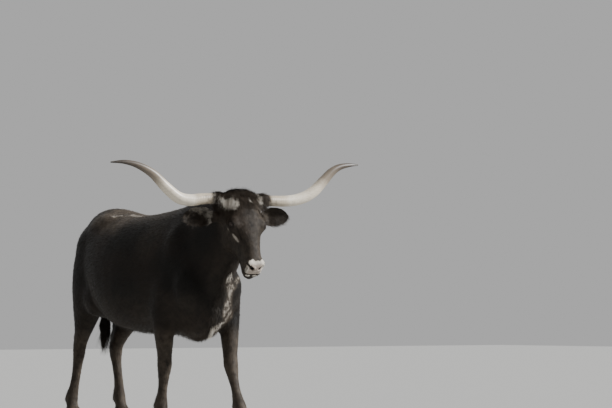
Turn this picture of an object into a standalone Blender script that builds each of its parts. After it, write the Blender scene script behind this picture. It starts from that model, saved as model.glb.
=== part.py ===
# A Texas longhorn at life size, stepping slowly with its left foreleg forward.
# Metres, +Z up. The animal faces -Y and its left side is +X.
# The flesh is lofted from body sections and muscle masses, fused into one form,
# and then parted into head, neck, torso and legs by thin cuts.

import math
import random

import bmesh
import bpy
from mathutils import Matrix, Vector
from mathutils.bvhtree import BVHTree

COLLECTION = "texas_longhorn"

# The gap between pieces that touch, and the one round the tail's bent root
GAP = 0.0003
TAIL_GAP = 0.0005

# Moves the whole so that the origin lies on the floor under its middle
MIDDLE = Vector((0.012, 0.175, 0.0))

# Fineness of the fused forms, how often each is softened, and the triangles left
BARREL_VOXEL = 0.012
BARREL_PASSES = 40
BODY_VOXEL = 0.009
BODY_PASSES = 9
HEAD_VOXEL = 0.0048
HEAD_PASSES = 3
BODY_TRIANGLES = 5200
HEAD_TRIANGLES = 2300

# Number of points in each kind of ring
BODY_SIDES = 40
LEG_SIDES = 20
HORN_SIDES = 12
TAIL_SIDES = 10
TAIL_STEPS = 2

RIGHT = -1
LEFT = 1
SIDE_NAMES = {RIGHT: "right", LEFT: "left"}

# Trunk sections from the chest to the rump:
# place along the body, top, widest height, bottom, half width, roundness above and below
TRUNK = (
    (-0.735, 1.08, 0.86, 0.72, 0.060, 1.0, 1.0),
    (-0.700, 1.20, 0.88, 0.630, 0.130, 1.0, 1.0),
    (-0.620, 1.32, 0.90, 0.565, 0.188, 1.1, 1.0),
    (-0.500, 1.37, 0.92, 0.550, 0.226, 1.2, 0.95),
    (-0.380, 1.362, 0.93, 0.572, 0.250, 1.25, 0.9),
    (-0.200, 1.340, 0.93, 0.604, 0.285, 1.1, 0.85),
    (0.000, 1.326, 0.93, 0.594, 0.322, 0.9, 0.85),
    (0.180, 1.338, 0.95, 0.604, 0.325, 0.85, 0.85),
    (0.320, 1.365, 0.99, 0.625, 0.298, 0.85, 0.9),
    (0.440, 1.392, 1.04, 0.660, 0.262, 0.9, 1.0),
    (0.560, 1.388, 1.09, 0.720, 0.216, 0.95, 1.0),
    (0.650, 1.352, 1.12, 0.830, 0.162, 1.0, 1.0),
    (0.710, 1.262, 1.12, 0.960, 0.090, 1.0, 1.0),
)

# Neck sections from the shoulders to the back of the skull, the dewlap below
NECK = (
    (-0.450, 1.385, 0.97, 0.590, 0.205, 1.2, 1.1),
    (-0.550, 1.395, 1.02, 0.592, 0.178, 1.1, 1.4),
    (-0.650, 1.405, 1.08, 0.630, 0.152, 1.0, 1.8),
    (-0.750, 1.412, 1.13, 0.740, 0.130, 1.0, 1.9),
    (-0.840, 1.416, 1.18, 0.910, 0.114, 1.0, 1.4),
    (-0.915, 1.402, 1.21, 1.020, 0.098, 1.0, 1.1),
    (-0.965, 1.365, 1.22, 1.090, 0.064, 1.0, 1.0),
)

# Leg sections from the top down: across from the midline, along, height,
# half width and half depth
RIGHT_FORELEG = (
    (0.172, -0.450, 0.900, 0.070, 0.125),
    (0.182, -0.415, 0.800, 0.070, 0.108),
    (0.180, -0.390, 0.710, 0.068, 0.094),
    (0.172, -0.386, 0.620, 0.060, 0.078),
    (0.167, -0.388, 0.530, 0.053, 0.064),
    (0.165, -0.388, 0.450, 0.045, 0.051),
    (0.165, -0.389, 0.395, 0.047, 0.049),
    (0.163, -0.380, 0.345, 0.040, 0.041),
    (0.161, -0.369, 0.290, 0.032, 0.034),
    (0.160, -0.357, 0.235, 0.031, 0.034),
    (0.160, -0.347, 0.195, 0.035, 0.039),
    (0.160, -0.343, 0.160, 0.042, 0.045),
    (0.161, -0.356, 0.120, 0.038, 0.041),
    (0.162, -0.371, 0.085, 0.043, 0.047),
    (0.163, -0.380, 0.040, 0.048, 0.054),
)
LEFT_FORELEG = (
    (0.184, -0.530, 0.900, 0.072, 0.125),
    (0.202, -0.515, 0.800, 0.074, 0.108),
    (0.200, -0.528, 0.710, 0.068, 0.090),
    (0.190, -0.556, 0.620, 0.058, 0.072),
    (0.178, -0.582, 0.530, 0.051, 0.060),
    (0.170, -0.600, 0.450, 0.045, 0.049),
    (0.165, -0.614, 0.395, 0.047, 0.049),
    (0.163, -0.632, 0.345, 0.040, 0.041),
    (0.161, -0.656, 0.290, 0.032, 0.034),
    (0.160, -0.682, 0.235, 0.031, 0.034),
    (0.160, -0.700, 0.195, 0.035, 0.039),
    (0.160, -0.717, 0.160, 0.042, 0.045),
    (0.161, -0.741, 0.120, 0.038, 0.041),
    (0.162, -0.764, 0.085, 0.043, 0.047),
    (0.163, -0.775, 0.040, 0.048, 0.054),
)
RIGHT_HIND_LEG = (
    (0.120, 0.500, 1.180, 0.110, 0.190),
    (0.140, 0.525, 1.030, 0.114, 0.192),
    (0.155, 0.530, 0.900, 0.108, 0.182),
    (0.160, 0.545, 0.800, 0.096, 0.158),
    (0.155, 0.588, 0.710, 0.077, 0.124),
    (0.145, 0.642, 0.620, 0.057, 0.088),
    (0.137, 0.693, 0.550, 0.045, 0.066),
    (0.132, 0.728, 0.495, 0.042, 0.056),
    (0.131, 0.738, 0.440, 0.039, 0.048),
    (0.132, 0.752, 0.380, 0.033, 0.039),
    (0.135, 0.768, 0.300, 0.031, 0.036),
    (0.140, 0.786, 0.230, 0.033, 0.038),
    (0.146, 0.802, 0.165, 0.042, 0.045),
    (0.149, 0.792, 0.120, 0.038, 0.041),
    (0.150, 0.778, 0.085, 0.043, 0.047),
    (0.150, 0.768, 0.040, 0.048, 0.054),
)
LEFT_HIND_LEG = (
    (0.120, 0.490, 1.180, 0.110, 0.190),
    (0.142, 0.510, 1.030, 0.114, 0.192),
    (0.158, 0.510, 0.900, 0.108, 0.182),
    (0.163, 0.525, 0.800, 0.096, 0.162),
    (0.158, 0.578, 0.710, 0.078, 0.138),
    (0.148, 0.620, 0.620, 0.058, 0.106),
    (0.140, 0.675, 0.550, 0.046, 0.080),
    (0.135, 0.714, 0.495, 0.043, 0.062),
    (0.134, 0.718, 0.440, 0.040, 0.050),
    (0.135, 0.708, 0.380, 0.033, 0.039),
    (0.139, 0.694, 0.300, 0.031, 0.036),
    (0.144, 0.690, 0.230, 0.033, 0.038),
    (0.149, 0.692, 0.165, 0.042, 0.045),
    (0.151, 0.678, 0.120, 0.038, 0.041),
    (0.152, 0.662, 0.085, 0.043, 0.047),
    (0.152, 0.652, 0.040, 0.048, 0.054),
)

# Muscle and bone masses on each side: across, along, height, radii, lean about X in degrees
MASSES = (
    ("shoulder_blade", 0.130, -0.470, 1.010, 0.098, 0.130, 0.250, 14),
    ("upper_arm", 0.165, -0.420, 0.850, 0.095, 0.150, 0.130, -20),
    ("point_of_shoulder", 0.135, -0.610, 0.860, 0.095, 0.100, 0.140, 0),
    ("hook_bone", 0.132, 0.360, 1.225, 0.115, 0.190, 0.125, 0),
    ("thurl", 0.140, 0.510, 1.110, 0.115, 0.170, 0.180, 0),
    ("pin_bone", 0.066, 0.628, 1.195, 0.080, 0.094, 0.108, 0),
    ("stifle", 0.175, 0.400, 0.810, 0.098, 0.120, 0.130, 0),
)

# Bones and tendons that stand out of each leg, from one of its sections:
# along and height from there, radii, lean about X in degrees
ELBOW_ROW = 2
ELBOW_MASSES = (
    ("elbow", 0.060, 0.045, 0.040, 0.045, 0.055, 0),
)
HOCK_ROW = 7
HOCK_MASSES = (
    ("heel_bone", 0.038, 0.042, 0.024, 0.028, 0.066, -12),
    ("heel_tendon", 0.008, 0.185, 0.021, 0.024, 0.120, 18),
)
FETLOCK_ROW = -4
DEWCLAW_PLACE = (0.024, 0.038, -0.018)
DEWCLAW_RADII = (0.013, 0.017, 0.022)

# Head frame: the middle of the horn axis, the face's slope below the horizontal,
# and its turn to the animal's right
HORN_AXIS = Vector((-0.006, -0.960, 1.371))
FACE_SLOPE = 64.0
HEAD_TURN = 9.0

# Head sections from the poll to the muzzle: place down the face, front, widest,
# back, half width, roundness of front and back
SKULL = (
    (-0.056, 0.030, 0.000, -0.030, 0.055, 1.0, 1.0),
    (-0.032, 0.059, 0.000, -0.075, 0.098, 0.9, 1.0),
    (0.020, 0.070, -0.015, -0.120, 0.116, 0.8, 1.0),
    (0.070, 0.077, -0.025, -0.155, 0.108, 0.7, 1.0),
    (0.120, 0.079, -0.030, -0.185, 0.105, 0.65, 0.9),
    (0.170, 0.077, -0.035, -0.198, 0.107, 0.65, 0.8),
    (0.220, 0.072, -0.040, -0.195, 0.096, 0.7, 0.8),
    (0.280, 0.066, -0.035, -0.165, 0.078, 0.75, 0.85),
    (0.340, 0.061, -0.030, -0.130, 0.065, 0.8, 0.9),
    (0.390, 0.057, -0.022, -0.107, 0.059, 0.8, 0.9),
    (0.430, 0.050, -0.020, -0.098, 0.061, 0.8, 0.9),
    (0.460, 0.034, -0.024, -0.088, 0.057, 0.9, 0.9),
    (0.480, 0.010, -0.032, -0.072, 0.040, 1.0, 1.0),
)

# Masses on each side of the head: across, down the face, out of it, radii
SKULL_MASSES = (
    ("horn_boss", 0.135, 0.000, 0.000, 0.075, 0.043, 0.045),
    ("orbit", 0.078, 0.176, 0.018, 0.040, 0.062, 0.050),
    ("cheek", 0.066, 0.195, -0.110, 0.036, 0.080, 0.075),
    ("ear_base", 0.112, 0.088, -0.058, 0.048, 0.044, 0.040),
    ("nostril_pad", 0.034, 0.438, 0.020, 0.031, 0.033, 0.034),
    ("lip", 0.028, 0.455, -0.045, 0.034, 0.030, 0.032),
)
CHIN_PLACE = (0.0, 0.452, -0.082)
CHIN_RADII = (0.040, 0.034, 0.026)

# Groove between the lips: how far down and out its middle and its corners lie
MOUTH_REACH = 0.075
MOUTH_FRONT = (0.474, -0.036)
MOUTH_CORNER = (0.369, -0.056)
MOUTH_RADIUS = 0.0045
NOSTRIL_PLACE = (0.038, 0.456, 0.026)
NOSTRIL_RADII = (0.0085, 0.0220, 0.0220)
NOSTRIL_SLANT = -50.0

# Horn centre lines: out from the horn axis and height above the floor
RIGHT_HORN = (
    (0.120, 1.371),
    (0.176, 1.371),
    (0.252, 1.365),
    (0.315, 1.357),
    (0.390, 1.371),
    (0.468, 1.428),
    (0.548, 1.500),
    (0.637, 1.545),
    (0.722, 1.562),
    (0.806, 1.558),
)
LEFT_HORN = (
    (0.120, 1.368),
    (0.179, 1.368),
    (0.317, 1.371),
    (0.414, 1.393),
    (0.487, 1.435),
    (0.550, 1.497),
    (0.609, 1.556),
    (0.664, 1.587),
    (0.729, 1.601),
    (0.791, 1.605),
)
HORN_RADII = (0.029, 0.031, 0.033, 0.034, 0.034, 0.031, 0.026, 0.019, 0.012, 0.004)

EAR_LENGTH = 0.200
EAR_RISE = {RIGHT: 0.03, LEFT: 0.13}
EAR_HALF_WIDTH = 0.065
EAR_THICKNESS = 0.007
EAR_ROOT = (0.138, 0.088, -0.060)
EAR_BED = (0.250, 0.142, 0.150)

# How far out sideways the regions reach that part the legs from the body
REGION_REACH = 0.60

# Eyeballs, the mound of both lids over them and the almond opening between the lids
EYE_RADIUS = 0.0205
EYE_CENTRE = (0.0975, 0.186, 0.030)
EYE_FACING = 24.0
LID_RADII = (0.0262, 0.0340, 0.0280)
OPENING_RADII = (0.0160, 0.0180, 0.0112)
OPENING_OUT = 0.024

# Claws: at the coronet they are smaller than the sole by these shares and lean back
CLAW_LENGTH = 0.118
CLAW_WIDTH = 0.050
CLAW_SIDES = 14
CLAW_LEVELS = 4
CLAW_TOP_WIDTH = 0.80
CLAW_TOP_LENGTH = 0.78
CLAW_LEAN = 0.020
CLEFT = 0.006
CORONET_FRONT = 0.078
CORONET_HEEL = 0.046

# Tail centre line: across, along and height, and its radii
TAIL = (
    (0.000, 0.606, 1.335, 0.040),
    (0.000, 0.670, 1.330, 0.037),
    (0.000, 0.717, 1.275, 0.031),
    (0.004, 0.736, 1.180, 0.026),
    (0.014, 0.741, 1.060, 0.023),
    (0.030, 0.738, 0.930, 0.020),
    (0.044, 0.730, 0.800, 0.017),
    (0.052, 0.721, 0.690, 0.015),
)

# Core of the tail's switch: height and radius below the tail's end
SWITCH_CORE = (
    (0.000, 0.014),
    (0.030, 0.017),
    (0.080, 0.014),
    (0.130, 0.008),
    (0.170, 0.003),
)

# Locks of each kind: how many, length, width, thickness, how deep they root, and segments
SWITCH_LOCKS = {
    "count": 14, "length": 0.225, "width": 0.018, "thickness": 0.0070, "depth": 0.003, "steps": 4,
}
POLL_LOCKS = {
    "count": 14, "length": 0.060, "width": 0.034, "thickness": 0.0110, "depth": 0.007, "steps": 3,
}
EAR_LOCKS = {
    "count": 4, "length": 0.060, "width": 0.013, "thickness": 0.0050, "depth": 0.003, "steps": 3,
}

# Where locks root: below the tail's end, across and down the poll, along an ear
SWITCH_ROOTS = (0.028, 0.090)
POLL_REACH = 0.092
POLL_ROWS = (-0.028, 0.002)
EAR_ROOTS = (0.24, 0.13)
SEED = 11


def section(half_width, top, wide, bottom, round_top, round_bottom, sides=BODY_SIDES):
    """Points of one body section as across and up, widest at the height wide."""
    points = []
    for step in range(sides):
        angle = 2 * math.pi * step / sides
        across = math.cos(angle)
        up = math.sin(angle)
        power = round_top if up > 0 else round_bottom
        reach = top - wide if up > 0 else wide - bottom
        width = half_width * math.copysign(abs(across) ** power, across)
        points.append((width, wide + reach * up))
    return points


def between(rows, steps):
    """The rows with others set between them along a smooth curve."""
    result = []
    last = len(rows) - 1
    for index in range(last):
        before = rows[max(index - 1, 0)]
        start = rows[index]
        end = rows[index + 1]
        after = rows[min(index + 2, last)]
        for step in range(steps):
            t = step / steps
            row = []
            for a, b, c, d in zip(before, start, end, after):
                bend = 2 * a - 5 * b + 4 * c - d
                twist = 3 * b - a - 3 * c + d
                row.append(0.5 * (2 * b + (c - a) * t + bend * t * t + twist * t ** 3))
            result.append(row)
    result.append(list(rows[last]))
    return result


def new_object(name, mesh):
    """An object of this mesh in the scene's own collection."""
    thing = bpy.data.objects.new(name, mesh)
    bpy.context.scene.collection.objects.link(thing)
    return thing


def loft(name, rings):
    """A closed form through rings of points that run the same way round."""
    form = bmesh.new()
    rows = [[form.verts.new(point) for point in ring] for ring in rings]
    count = len(rings[0])
    for low, high in zip(rows, rows[1:]):
        for step in range(count):
            following = (step + 1) % count
            form.faces.new((low[step], low[following], high[following], high[step]))
    for row, ring in ((rows[0], rings[0]), (rows[-1], rings[-1])):
        middle = form.verts.new(sum(map(Vector, ring), Vector()) / count)
        for step in range(count):
            form.faces.new((row[step], row[(step + 1) % count], middle))
    form.normal_update()
    bmesh.ops.recalc_face_normals(form, faces=form.faces)
    mesh = bpy.data.meshes.new(name)
    form.to_mesh(mesh)
    form.free()
    return new_object(name, mesh)


def ball(name, place, radii, turn=Matrix.Identity(4), rings=16):
    """An ellipsoid at a place, turned by a matrix."""
    mesh = bpy.data.meshes.new(name)
    form = bmesh.new()
    bmesh.ops.create_uvsphere(form, u_segments=rings + 4, v_segments=rings, radius=1.0)
    sizes = Matrix.Diagonal((*radii, 1.0))
    form.transform(Matrix.Translation(place) @ turn @ sizes)
    form.to_mesh(mesh)
    form.free()
    return new_object(name, mesh)


def block(name, corner, size, frame=Matrix.Identity(4)):
    """A box from its lowest corner and size, set in a frame."""
    mesh = bpy.data.meshes.new(name)
    form = bmesh.new()
    bmesh.ops.create_cube(form, size=1.0)
    middle = Vector(corner) + Vector(size) / 2
    form.transform(frame @ Matrix.Translation(middle) @ Matrix.Diagonal((*size, 1.0)))
    form.normal_update()
    bmesh.ops.recalc_face_normals(form, faces=form.faces)
    form.to_mesh(mesh)
    form.free()
    return new_object(name, mesh)


def half_space(name, point, normal, gap=0.0, size=4.0):
    """A big box that fills the side of a plane that its normal points to."""
    turn = Vector(normal).to_track_quat("Z", "Y").to_matrix().to_4x4()
    frame = Matrix.Translation(point) @ turn
    return block(name, (-size / 2, -size / 2, gap), (size, size, size), frame)


def remove(things):
    """Takes objects and their meshes out of the file."""
    for thing in things:
        mesh = thing.data
        bpy.data.objects.remove(thing)
        bpy.data.meshes.remove(mesh)


def copy_of(thing, name):
    """A second object with its own copy of the mesh."""
    return new_object(name, thing.data.copy())


def bake(thing):
    """Turns an object's modifiers into its plain mesh."""
    bpy.context.view_layer.update()
    graph = bpy.context.evaluated_depsgraph_get()
    mesh = bpy.data.meshes.new_from_object(thing.evaluated_get(graph))
    old = thing.data
    thing.modifiers.clear()
    thing.data = mesh
    bpy.data.meshes.remove(old)


def combine(thing, others, operation, solver="MANIFOLD"):
    """One Boolean on closed objects, which are then removed; exact fails on some legs."""
    group = bpy.data.collections.new("cutters")
    for other in others:
        other.hide_render = True
        other.display_type = "WIRE"
        group.objects.link(other)
    modifier = thing.modifiers.new(operation.lower(), "BOOLEAN")
    modifier.operation = operation
    modifier.solver = solver
    if len(others) == 1:
        modifier.object = others[0]
    else:
        modifier.operand_type = "COLLECTION"
        modifier.collection = group
    bake(thing)
    bpy.data.collections.remove(group)
    remove(others)


def keep_largest(thing):
    """Keeps the largest closed surface of a mesh and drops the rest."""
    form = bmesh.new()
    form.from_mesh(thing.data)
    waiting = set(form.faces)
    shells = []
    while waiting:
        shell = set()
        pending = [waiting.pop()]
        while pending:
            face = pending.pop()
            shell.add(face)
            for edge in face.edges:
                for other in edge.link_faces:
                    if other in waiting:
                        waiting.remove(other)
                        pending.append(other)
        shells.append(shell)
    shells.sort(key=lambda shell: sum(face.calc_area() for face in shell))
    dropped = [face for shell in shells[:-1] for face in shell]
    bmesh.ops.delete(form, geom=dropped, context="FACES")
    form.to_mesh(thing.data)
    form.free()


def fuse(name, pieces, voxel, passes):
    """Joins overlapping pieces into one closed form and softens where they meet."""
    form = bmesh.new()
    for piece in pieces:
        form.from_mesh(piece.data)
    mesh = bpy.data.meshes.new(name)
    form.to_mesh(mesh)
    form.free()
    remove(pieces)
    whole = new_object(name, mesh)
    remesh = whole.modifiers.new("remesh", "REMESH")
    remesh.mode = "VOXEL"
    remesh.voxel_size = voxel
    soften = whole.modifiers.new("soften", "SMOOTH")
    soften.factor = 0.5
    soften.iterations = passes
    bake(whole)
    return whole


def thin_out(thing, triangles):
    """Lowers the number of triangles while keeping the form."""
    thing.data.calc_loop_triangles()
    modifier = thing.modifiers.new("thin_out", "DECIMATE")
    modifier.ratio = triangles / len(thing.data.loop_triangles)
    modifier.use_collapse_triangulate = True
    bake(thing)


def crop(thing, point, normal):
    """Cuts off the side that a plane's normal points to, and closes the cut."""
    form = bmesh.new()
    form.from_mesh(thing.data)
    everything = form.verts[:] + form.edges[:] + form.faces[:]
    cut = bmesh.ops.bisect_plane(
        form, geom=everything, plane_co=point, plane_no=normal, clear_outer=True)
    rim = [edge for edge in cut["geom_cut"] if isinstance(edge, bmesh.types.BMEdge)]
    bmesh.ops.edgeloop_fill(form, edges=rim)
    bmesh.ops.triangulate(form, faces=form.faces)
    form.to_mesh(thing.data)
    form.free()


def head_matrix():
    """From the head's own frame (left, up the face, out of the face) to the body's."""
    slope = math.radians(FACE_SLOPE)
    up_the_face = Vector((0.0, math.cos(slope), math.sin(slope)))
    out_of_face = Vector((0.0, -math.sin(slope), math.cos(slope)))
    axes = Matrix((Vector((1.0, 0.0, 0.0)), up_the_face, out_of_face)).transposed()
    turn = Matrix.Rotation(math.radians(-HEAD_TURN), 4, "Z")
    return Matrix.Translation(HORN_AXIS) @ turn @ axes.to_4x4()


HEAD = head_matrix()


def on_head(across, down, out):
    """A place in the head's frame, measured down the face, as a place in the body's."""
    return HEAD @ Vector((across, -down, out))


def body_rings(rows, steps):
    """Rings in upright planes across the body."""
    rings = []
    for along, top, wide, bottom, half_width, round_top, round_bottom in between(rows, steps):
        points = section(half_width, top, wide, bottom, round_top, round_bottom)
        rings.append([Vector((across, along, up)) for across, up in points])
    return rings


def head_rings(rows, steps):
    """Rings in planes square to the face line."""
    rings = []
    for down, front, wide, back, half_width, round_front, round_back in between(rows, steps):
        points = section(half_width, front, wide, back, round_front, round_back)
        rings.append([on_head(across, down, out) for across, out in points])
    return rings


def leg_rings(rows, side, steps):
    """Level oval rings down a leg."""
    rings = []
    for across, along, height, half_width, half_depth in between(rows, steps):
        ring = []
        for step in range(LEG_SIDES):
            angle = 2 * math.pi * step / LEG_SIDES
            x = side * (across + half_width * math.cos(angle))
            ring.append(Vector((x, along + half_depth * math.sin(angle), height)))
        rings.append(ring)
    return rings


def dewclaws(rows, side):
    """The two small claws behind a fetlock."""
    across, along, height = rows[FETLOCK_ROW][:3]
    apart, behind, above = DEWCLAW_PLACE
    pieces = []
    for offset in (-apart, apart):
        place = (side * across + offset, along + behind, height + above)
        pieces.append(ball("dewclaw", place, DEWCLAW_RADII))
    return pieces


LEGS = {
    "foreleg_right": (RIGHT_FORELEG, RIGHT),
    "foreleg_left": (LEFT_FORELEG, LEFT),
    "hind_leg_right": (RIGHT_HIND_LEG, RIGHT),
    "hind_leg_left": (LEFT_HIND_LEG, LEFT),
}


def leg_masses():
    """Elbows, heel bones with their tendons, and dewclaws that stand out of the legs."""
    pieces = []
    for name, (rows, side) in LEGS.items():
        pieces += dewclaws(rows, side)
        fore = name.startswith("fore")
        across, along, height = rows[ELBOW_ROW if fore else HOCK_ROW][:3]
        masses = ELBOW_MASSES if fore else HOCK_MASSES
        for kind, behind, above, wide, deep, tall, lean in masses:
            place = (side * across, along + behind, height + above)
            turn = Matrix.Rotation(math.radians(lean), 4, "X")
            pieces.append(ball(kind, place, (wide, deep, tall), turn))
    return pieces


def body_masses():
    """Muscles and bones that show under the hide on each side."""
    pieces = []
    for side in (RIGHT, LEFT):
        for name, across, along, height, wide, deep, tall, lean in MASSES:
            turn = Matrix.Rotation(math.radians(lean), 4, "X")
            place = (side * across, along, height)
            pieces.append(ball(name, place, (wide, deep, tall), turn))
    return pieces


def head_masses():
    """Bosses, orbits, cheeks, ear bases and the muzzle's pads."""
    turn = HEAD.to_3x3().to_4x4()
    pieces = [ball("chin", on_head(*CHIN_PLACE), CHIN_RADII, turn)]
    for side in (RIGHT, LEFT):
        for name, across, down, out, wide, tall, deep in SKULL_MASSES:
            place = on_head(side * across, down, out)
            pieces.append(ball(name, place, (wide, tall, deep), turn))
    return pieces


def flesh():
    """The whole body as one closed form, without horns, ears, eyes, hooves and tail."""
    pieces = [loft("trunk", body_rings(TRUNK, 4)), loft("neck", body_rings(NECK, 4))]
    for name, (rows, side) in LEGS.items():
        pieces.append(loft(name, leg_rings(rows, side, 3)))
    barrel = fuse("barrel", pieces + body_masses(), BARREL_VOXEL, BARREL_PASSES)
    pieces = [barrel, loft("skull", head_rings(SKULL, 4))]
    for name, (rows, side) in LEGS.items():
        below_body = rows[2:] if name.startswith("fore") else rows[3:]
        pieces.append(loft(name, leg_rings(below_body, side, 3)))
    pieces += leg_masses() + head_masses()
    return fuse("flesh", pieces, BODY_VOXEL, BODY_PASSES)


# The plane between head and neck, and the one between neck and torso
HEAD_CUT = on_head(0.0, 0.115, -0.135)
HEAD_CUT_NORMAL = HEAD.to_3x3() @ Vector((0.0, 0.377, -0.926))
NECK_CUT = Vector((0.0, -0.645, 1.200))
NECK_CUT_NORMAL = Vector((0.0, 0.947, -0.321))


def leg_region(name, side, upper, lower, inner_low, inner_high, grow=0.0):
    """A prism round one leg, from its side outline.

    The upper part of the outline ends at the height where its inner face stops leaning.
    """
    lean = (inner_high[0] - inner_low[0]) / (inner_high[1] - inner_low[1])
    outline = upper + lower
    form = bmesh.new()
    inside = []
    outside = []
    for along, height in outline:
        inner = inner_low[0] + lean * max(height - inner_low[1], 0.0) - grow
        inside.append(form.verts.new((side * inner, along, height)))
        outside.append(form.verts.new((side * REGION_REACH, along, height)))
    form.faces.new(inside[:len(upper)])
    form.faces.new([inside[len(upper) - 1]] + inside[len(upper):] + [inside[0]])
    form.faces.new(list(reversed(outside)))
    count = len(outline)
    for step in range(count):
        following = (step + 1) % count
        form.faces.new((inside[step], outside[step], outside[following], inside[following]))
    bmesh.ops.triangulate(form, faces=form.faces)
    form.normal_update()
    bmesh.ops.recalc_face_normals(form, faces=form.faces)
    mesh = bpy.data.meshes.new(name)
    form.to_mesh(mesh)
    form.free()
    return new_object(name, mesh)


def arch(middle, radius, start, end, steps=14):
    """Points of an arc in the side view, angles from the rear over the top."""
    along, height = middle
    points = []
    for step in range(steps + 1):
        angle = math.radians(start + (end - start) * step / steps)
        points.append((along + radius * math.cos(angle), height + radius * math.sin(angle)))
    return points


def foreleg_outline(shift, grow):
    """Side outline round a foreleg: a round top at the shoulder, wider below the chest."""
    top = arch((-0.475 + 0.3 * shift, 0.990), 0.165 + grow, 0, 180)
    front = [(-0.625 + 0.9 * shift - grow, 0.700), (-0.640 + shift - grow, 0.550)]
    rear = [(-0.265 + shift + grow, 0.550), (-0.275 + 0.9 * shift + grow, 0.700)]
    below = [(-0.700 + shift - grow, 0.450), (-0.700 + shift - grow, -0.100)]
    behind = [(-0.120 + shift + grow, -0.100), (-0.120 + shift + grow, 0.450)]
    return rear + top + front, below + behind


def hind_leg_outline(grow):
    """Side outline round a hind leg, open behind the thigh."""
    top = arch((0.500, 1.040), 0.190 + grow, 50, 180)
    behind = [(1.000, 0.700), (1.000, 1.145 + grow), (0.700, 1.145 + grow)]
    front = [(0.285 - grow, 0.860), (0.335 - grow, 0.700)]
    below = [(0.400 - grow, 0.450), (0.400 - grow, -0.100), (1.000, -0.100)]
    return behind + top + front, below


def leg_cutter(name, grow=0.0):
    """The region that one leg takes of the flesh."""
    rows, side = LEGS[name]
    if name.startswith("fore"):
        shift = rows[2][1] - RIGHT_FORELEG[2][1]
        upper, lower = foreleg_outline(shift, grow)
        return leg_region(name + "_region", side, upper, lower, (0.088, 0.55), (0.150, 1.00), grow)
    upper, lower = hind_leg_outline(grow)
    return leg_region(name + "_region", side, upper, lower, (0.030, 0.70), (0.150, 1.15), grow)


def finish(thing, name):
    """Names a finished solid and moves it into the model's frame."""
    thing.name = name
    thing.data.name = name
    thing.data.transform(Matrix.Translation(MIDDLE))
    thing.data.shade_smooth()
    thing.data.set_sharp_from_angle(angle=math.radians(50))


def coronet_plane(rows):
    """A place on the slanted plane where a hoof meets the leg, and its upward normal."""
    along = rows[-1][1]
    slope = math.atan2(CORONET_FRONT - CORONET_HEEL, CLAW_LENGTH)
    middle = Vector((0.0, along, (CORONET_FRONT + CORONET_HEEL) / 2))
    return middle, Vector((0.0, math.sin(slope), math.cos(slope)))


def claw(name, rows, side, inner):
    """One claw of a cloven hoof: a slanted wall with its toe forward and a flat sole."""
    middle_x = side * rows[-1][0]
    along = rows[-1][1]
    direction = 1 if inner else -1
    offset = -side * direction * (CLAW_WIDTH / 2 + CLEFT / 2)
    point, normal = coronet_plane(rows)
    toe_narrowing = 0.35
    toe_turn = 0.10
    rings = []
    for level in range(CLAW_LEVELS + 1):
        share = level / CLAW_LEVELS
        ring = []
        for step in range(CLAW_SIDES):
            angle = 2 * math.pi * step / CLAW_SIDES
            forward = math.sin(angle)
            across = math.cos(angle)
            toe = max(forward, 0.0)
            width = CLAW_WIDTH / 2 * (CLAW_TOP_WIDTH + (1 - CLAW_TOP_WIDTH) * share)
            length = CLAW_LENGTH / 2 * (CLAW_TOP_LENGTH + (1 - CLAW_TOP_LENGTH) * share)
            x = middle_x + offset + width * (1 - toe_narrowing * toe ** 3) * across
            x += (middle_x - x) * toe_turn * toe
            y = along - length * forward - CLAW_LEAN * share
            top = point.z - (y - point.y) * normal.y / normal.z - GAP / normal.z
            ring.append(Vector((x, y, top * (1 - share))))
        rings.append(ring)
    return loft(name, rings)


def horn(name, side, grow=0.0):
    """A horn swept out from the poll, down a little, then up and out to its tip."""
    line = RIGHT_HORN if side == RIGHT else LEFT_HORN
    rows = []
    for (out, height), radius in zip(line, HORN_RADII):
        rows.append((out, height, radius))
    if grow:
        rows[0] = (rows[0][0] - grow, rows[0][1], rows[0][2])
    turn = Matrix.Rotation(math.radians(-HEAD_TURN), 3, "Z")
    lateral = turn @ Vector((1.0, 0.0, 0.0))
    forward = turn @ Vector((0.0, -1.0, 0.0))
    points = between(rows, 2)
    rings = []
    for index, (out, height, radius) in enumerate(points):
        before = points[max(index - 1, 0)]
        after = points[min(index + 1, len(points) - 1)]
        run = Vector((after[0] - before[0], after[1] - before[1])).normalized()
        centre = HORN_AXIS + lateral * (side * out)
        centre.z = height
        upward = Vector((0.0, 0.0, run.x)) - lateral * (side * run.y)
        ring = []
        for step in range(HORN_SIDES):
            angle = 2 * math.pi * step / HORN_SIDES
            round_it = upward * math.cos(angle) + forward * math.sin(angle)
            ring.append(centre + round_it * (radius + grow))
        rings.append(ring)
    return loft(name, rings)


def ear_frame(side):
    """The ear's root and its axes: along to the tip, across upwards, and out of the cup."""
    turn = Matrix.Rotation(math.radians(-HEAD_TURN), 3, "Z")
    along = (turn @ Vector((side * 0.98, 0.13, EAR_RISE[side]))).normalized()
    facing = turn @ Vector((side * 0.10, -0.96, -0.10))
    facing = (facing - along * facing.dot(along)).normalized()
    across = facing.cross(along) * side
    root = on_head(side * EAR_ROOT[0], EAR_ROOT[1], EAR_ROOT[2])
    return root, along, across, facing


EAR_OUTLINE = (
    (0.00, 0.46), (0.12, 0.60), (0.26, 0.86), (0.42, 1.00), (0.60, 0.96), (0.76, 0.78),
    (0.88, 0.54), (0.96, 0.28), (1.00, 0.10),
)


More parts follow.
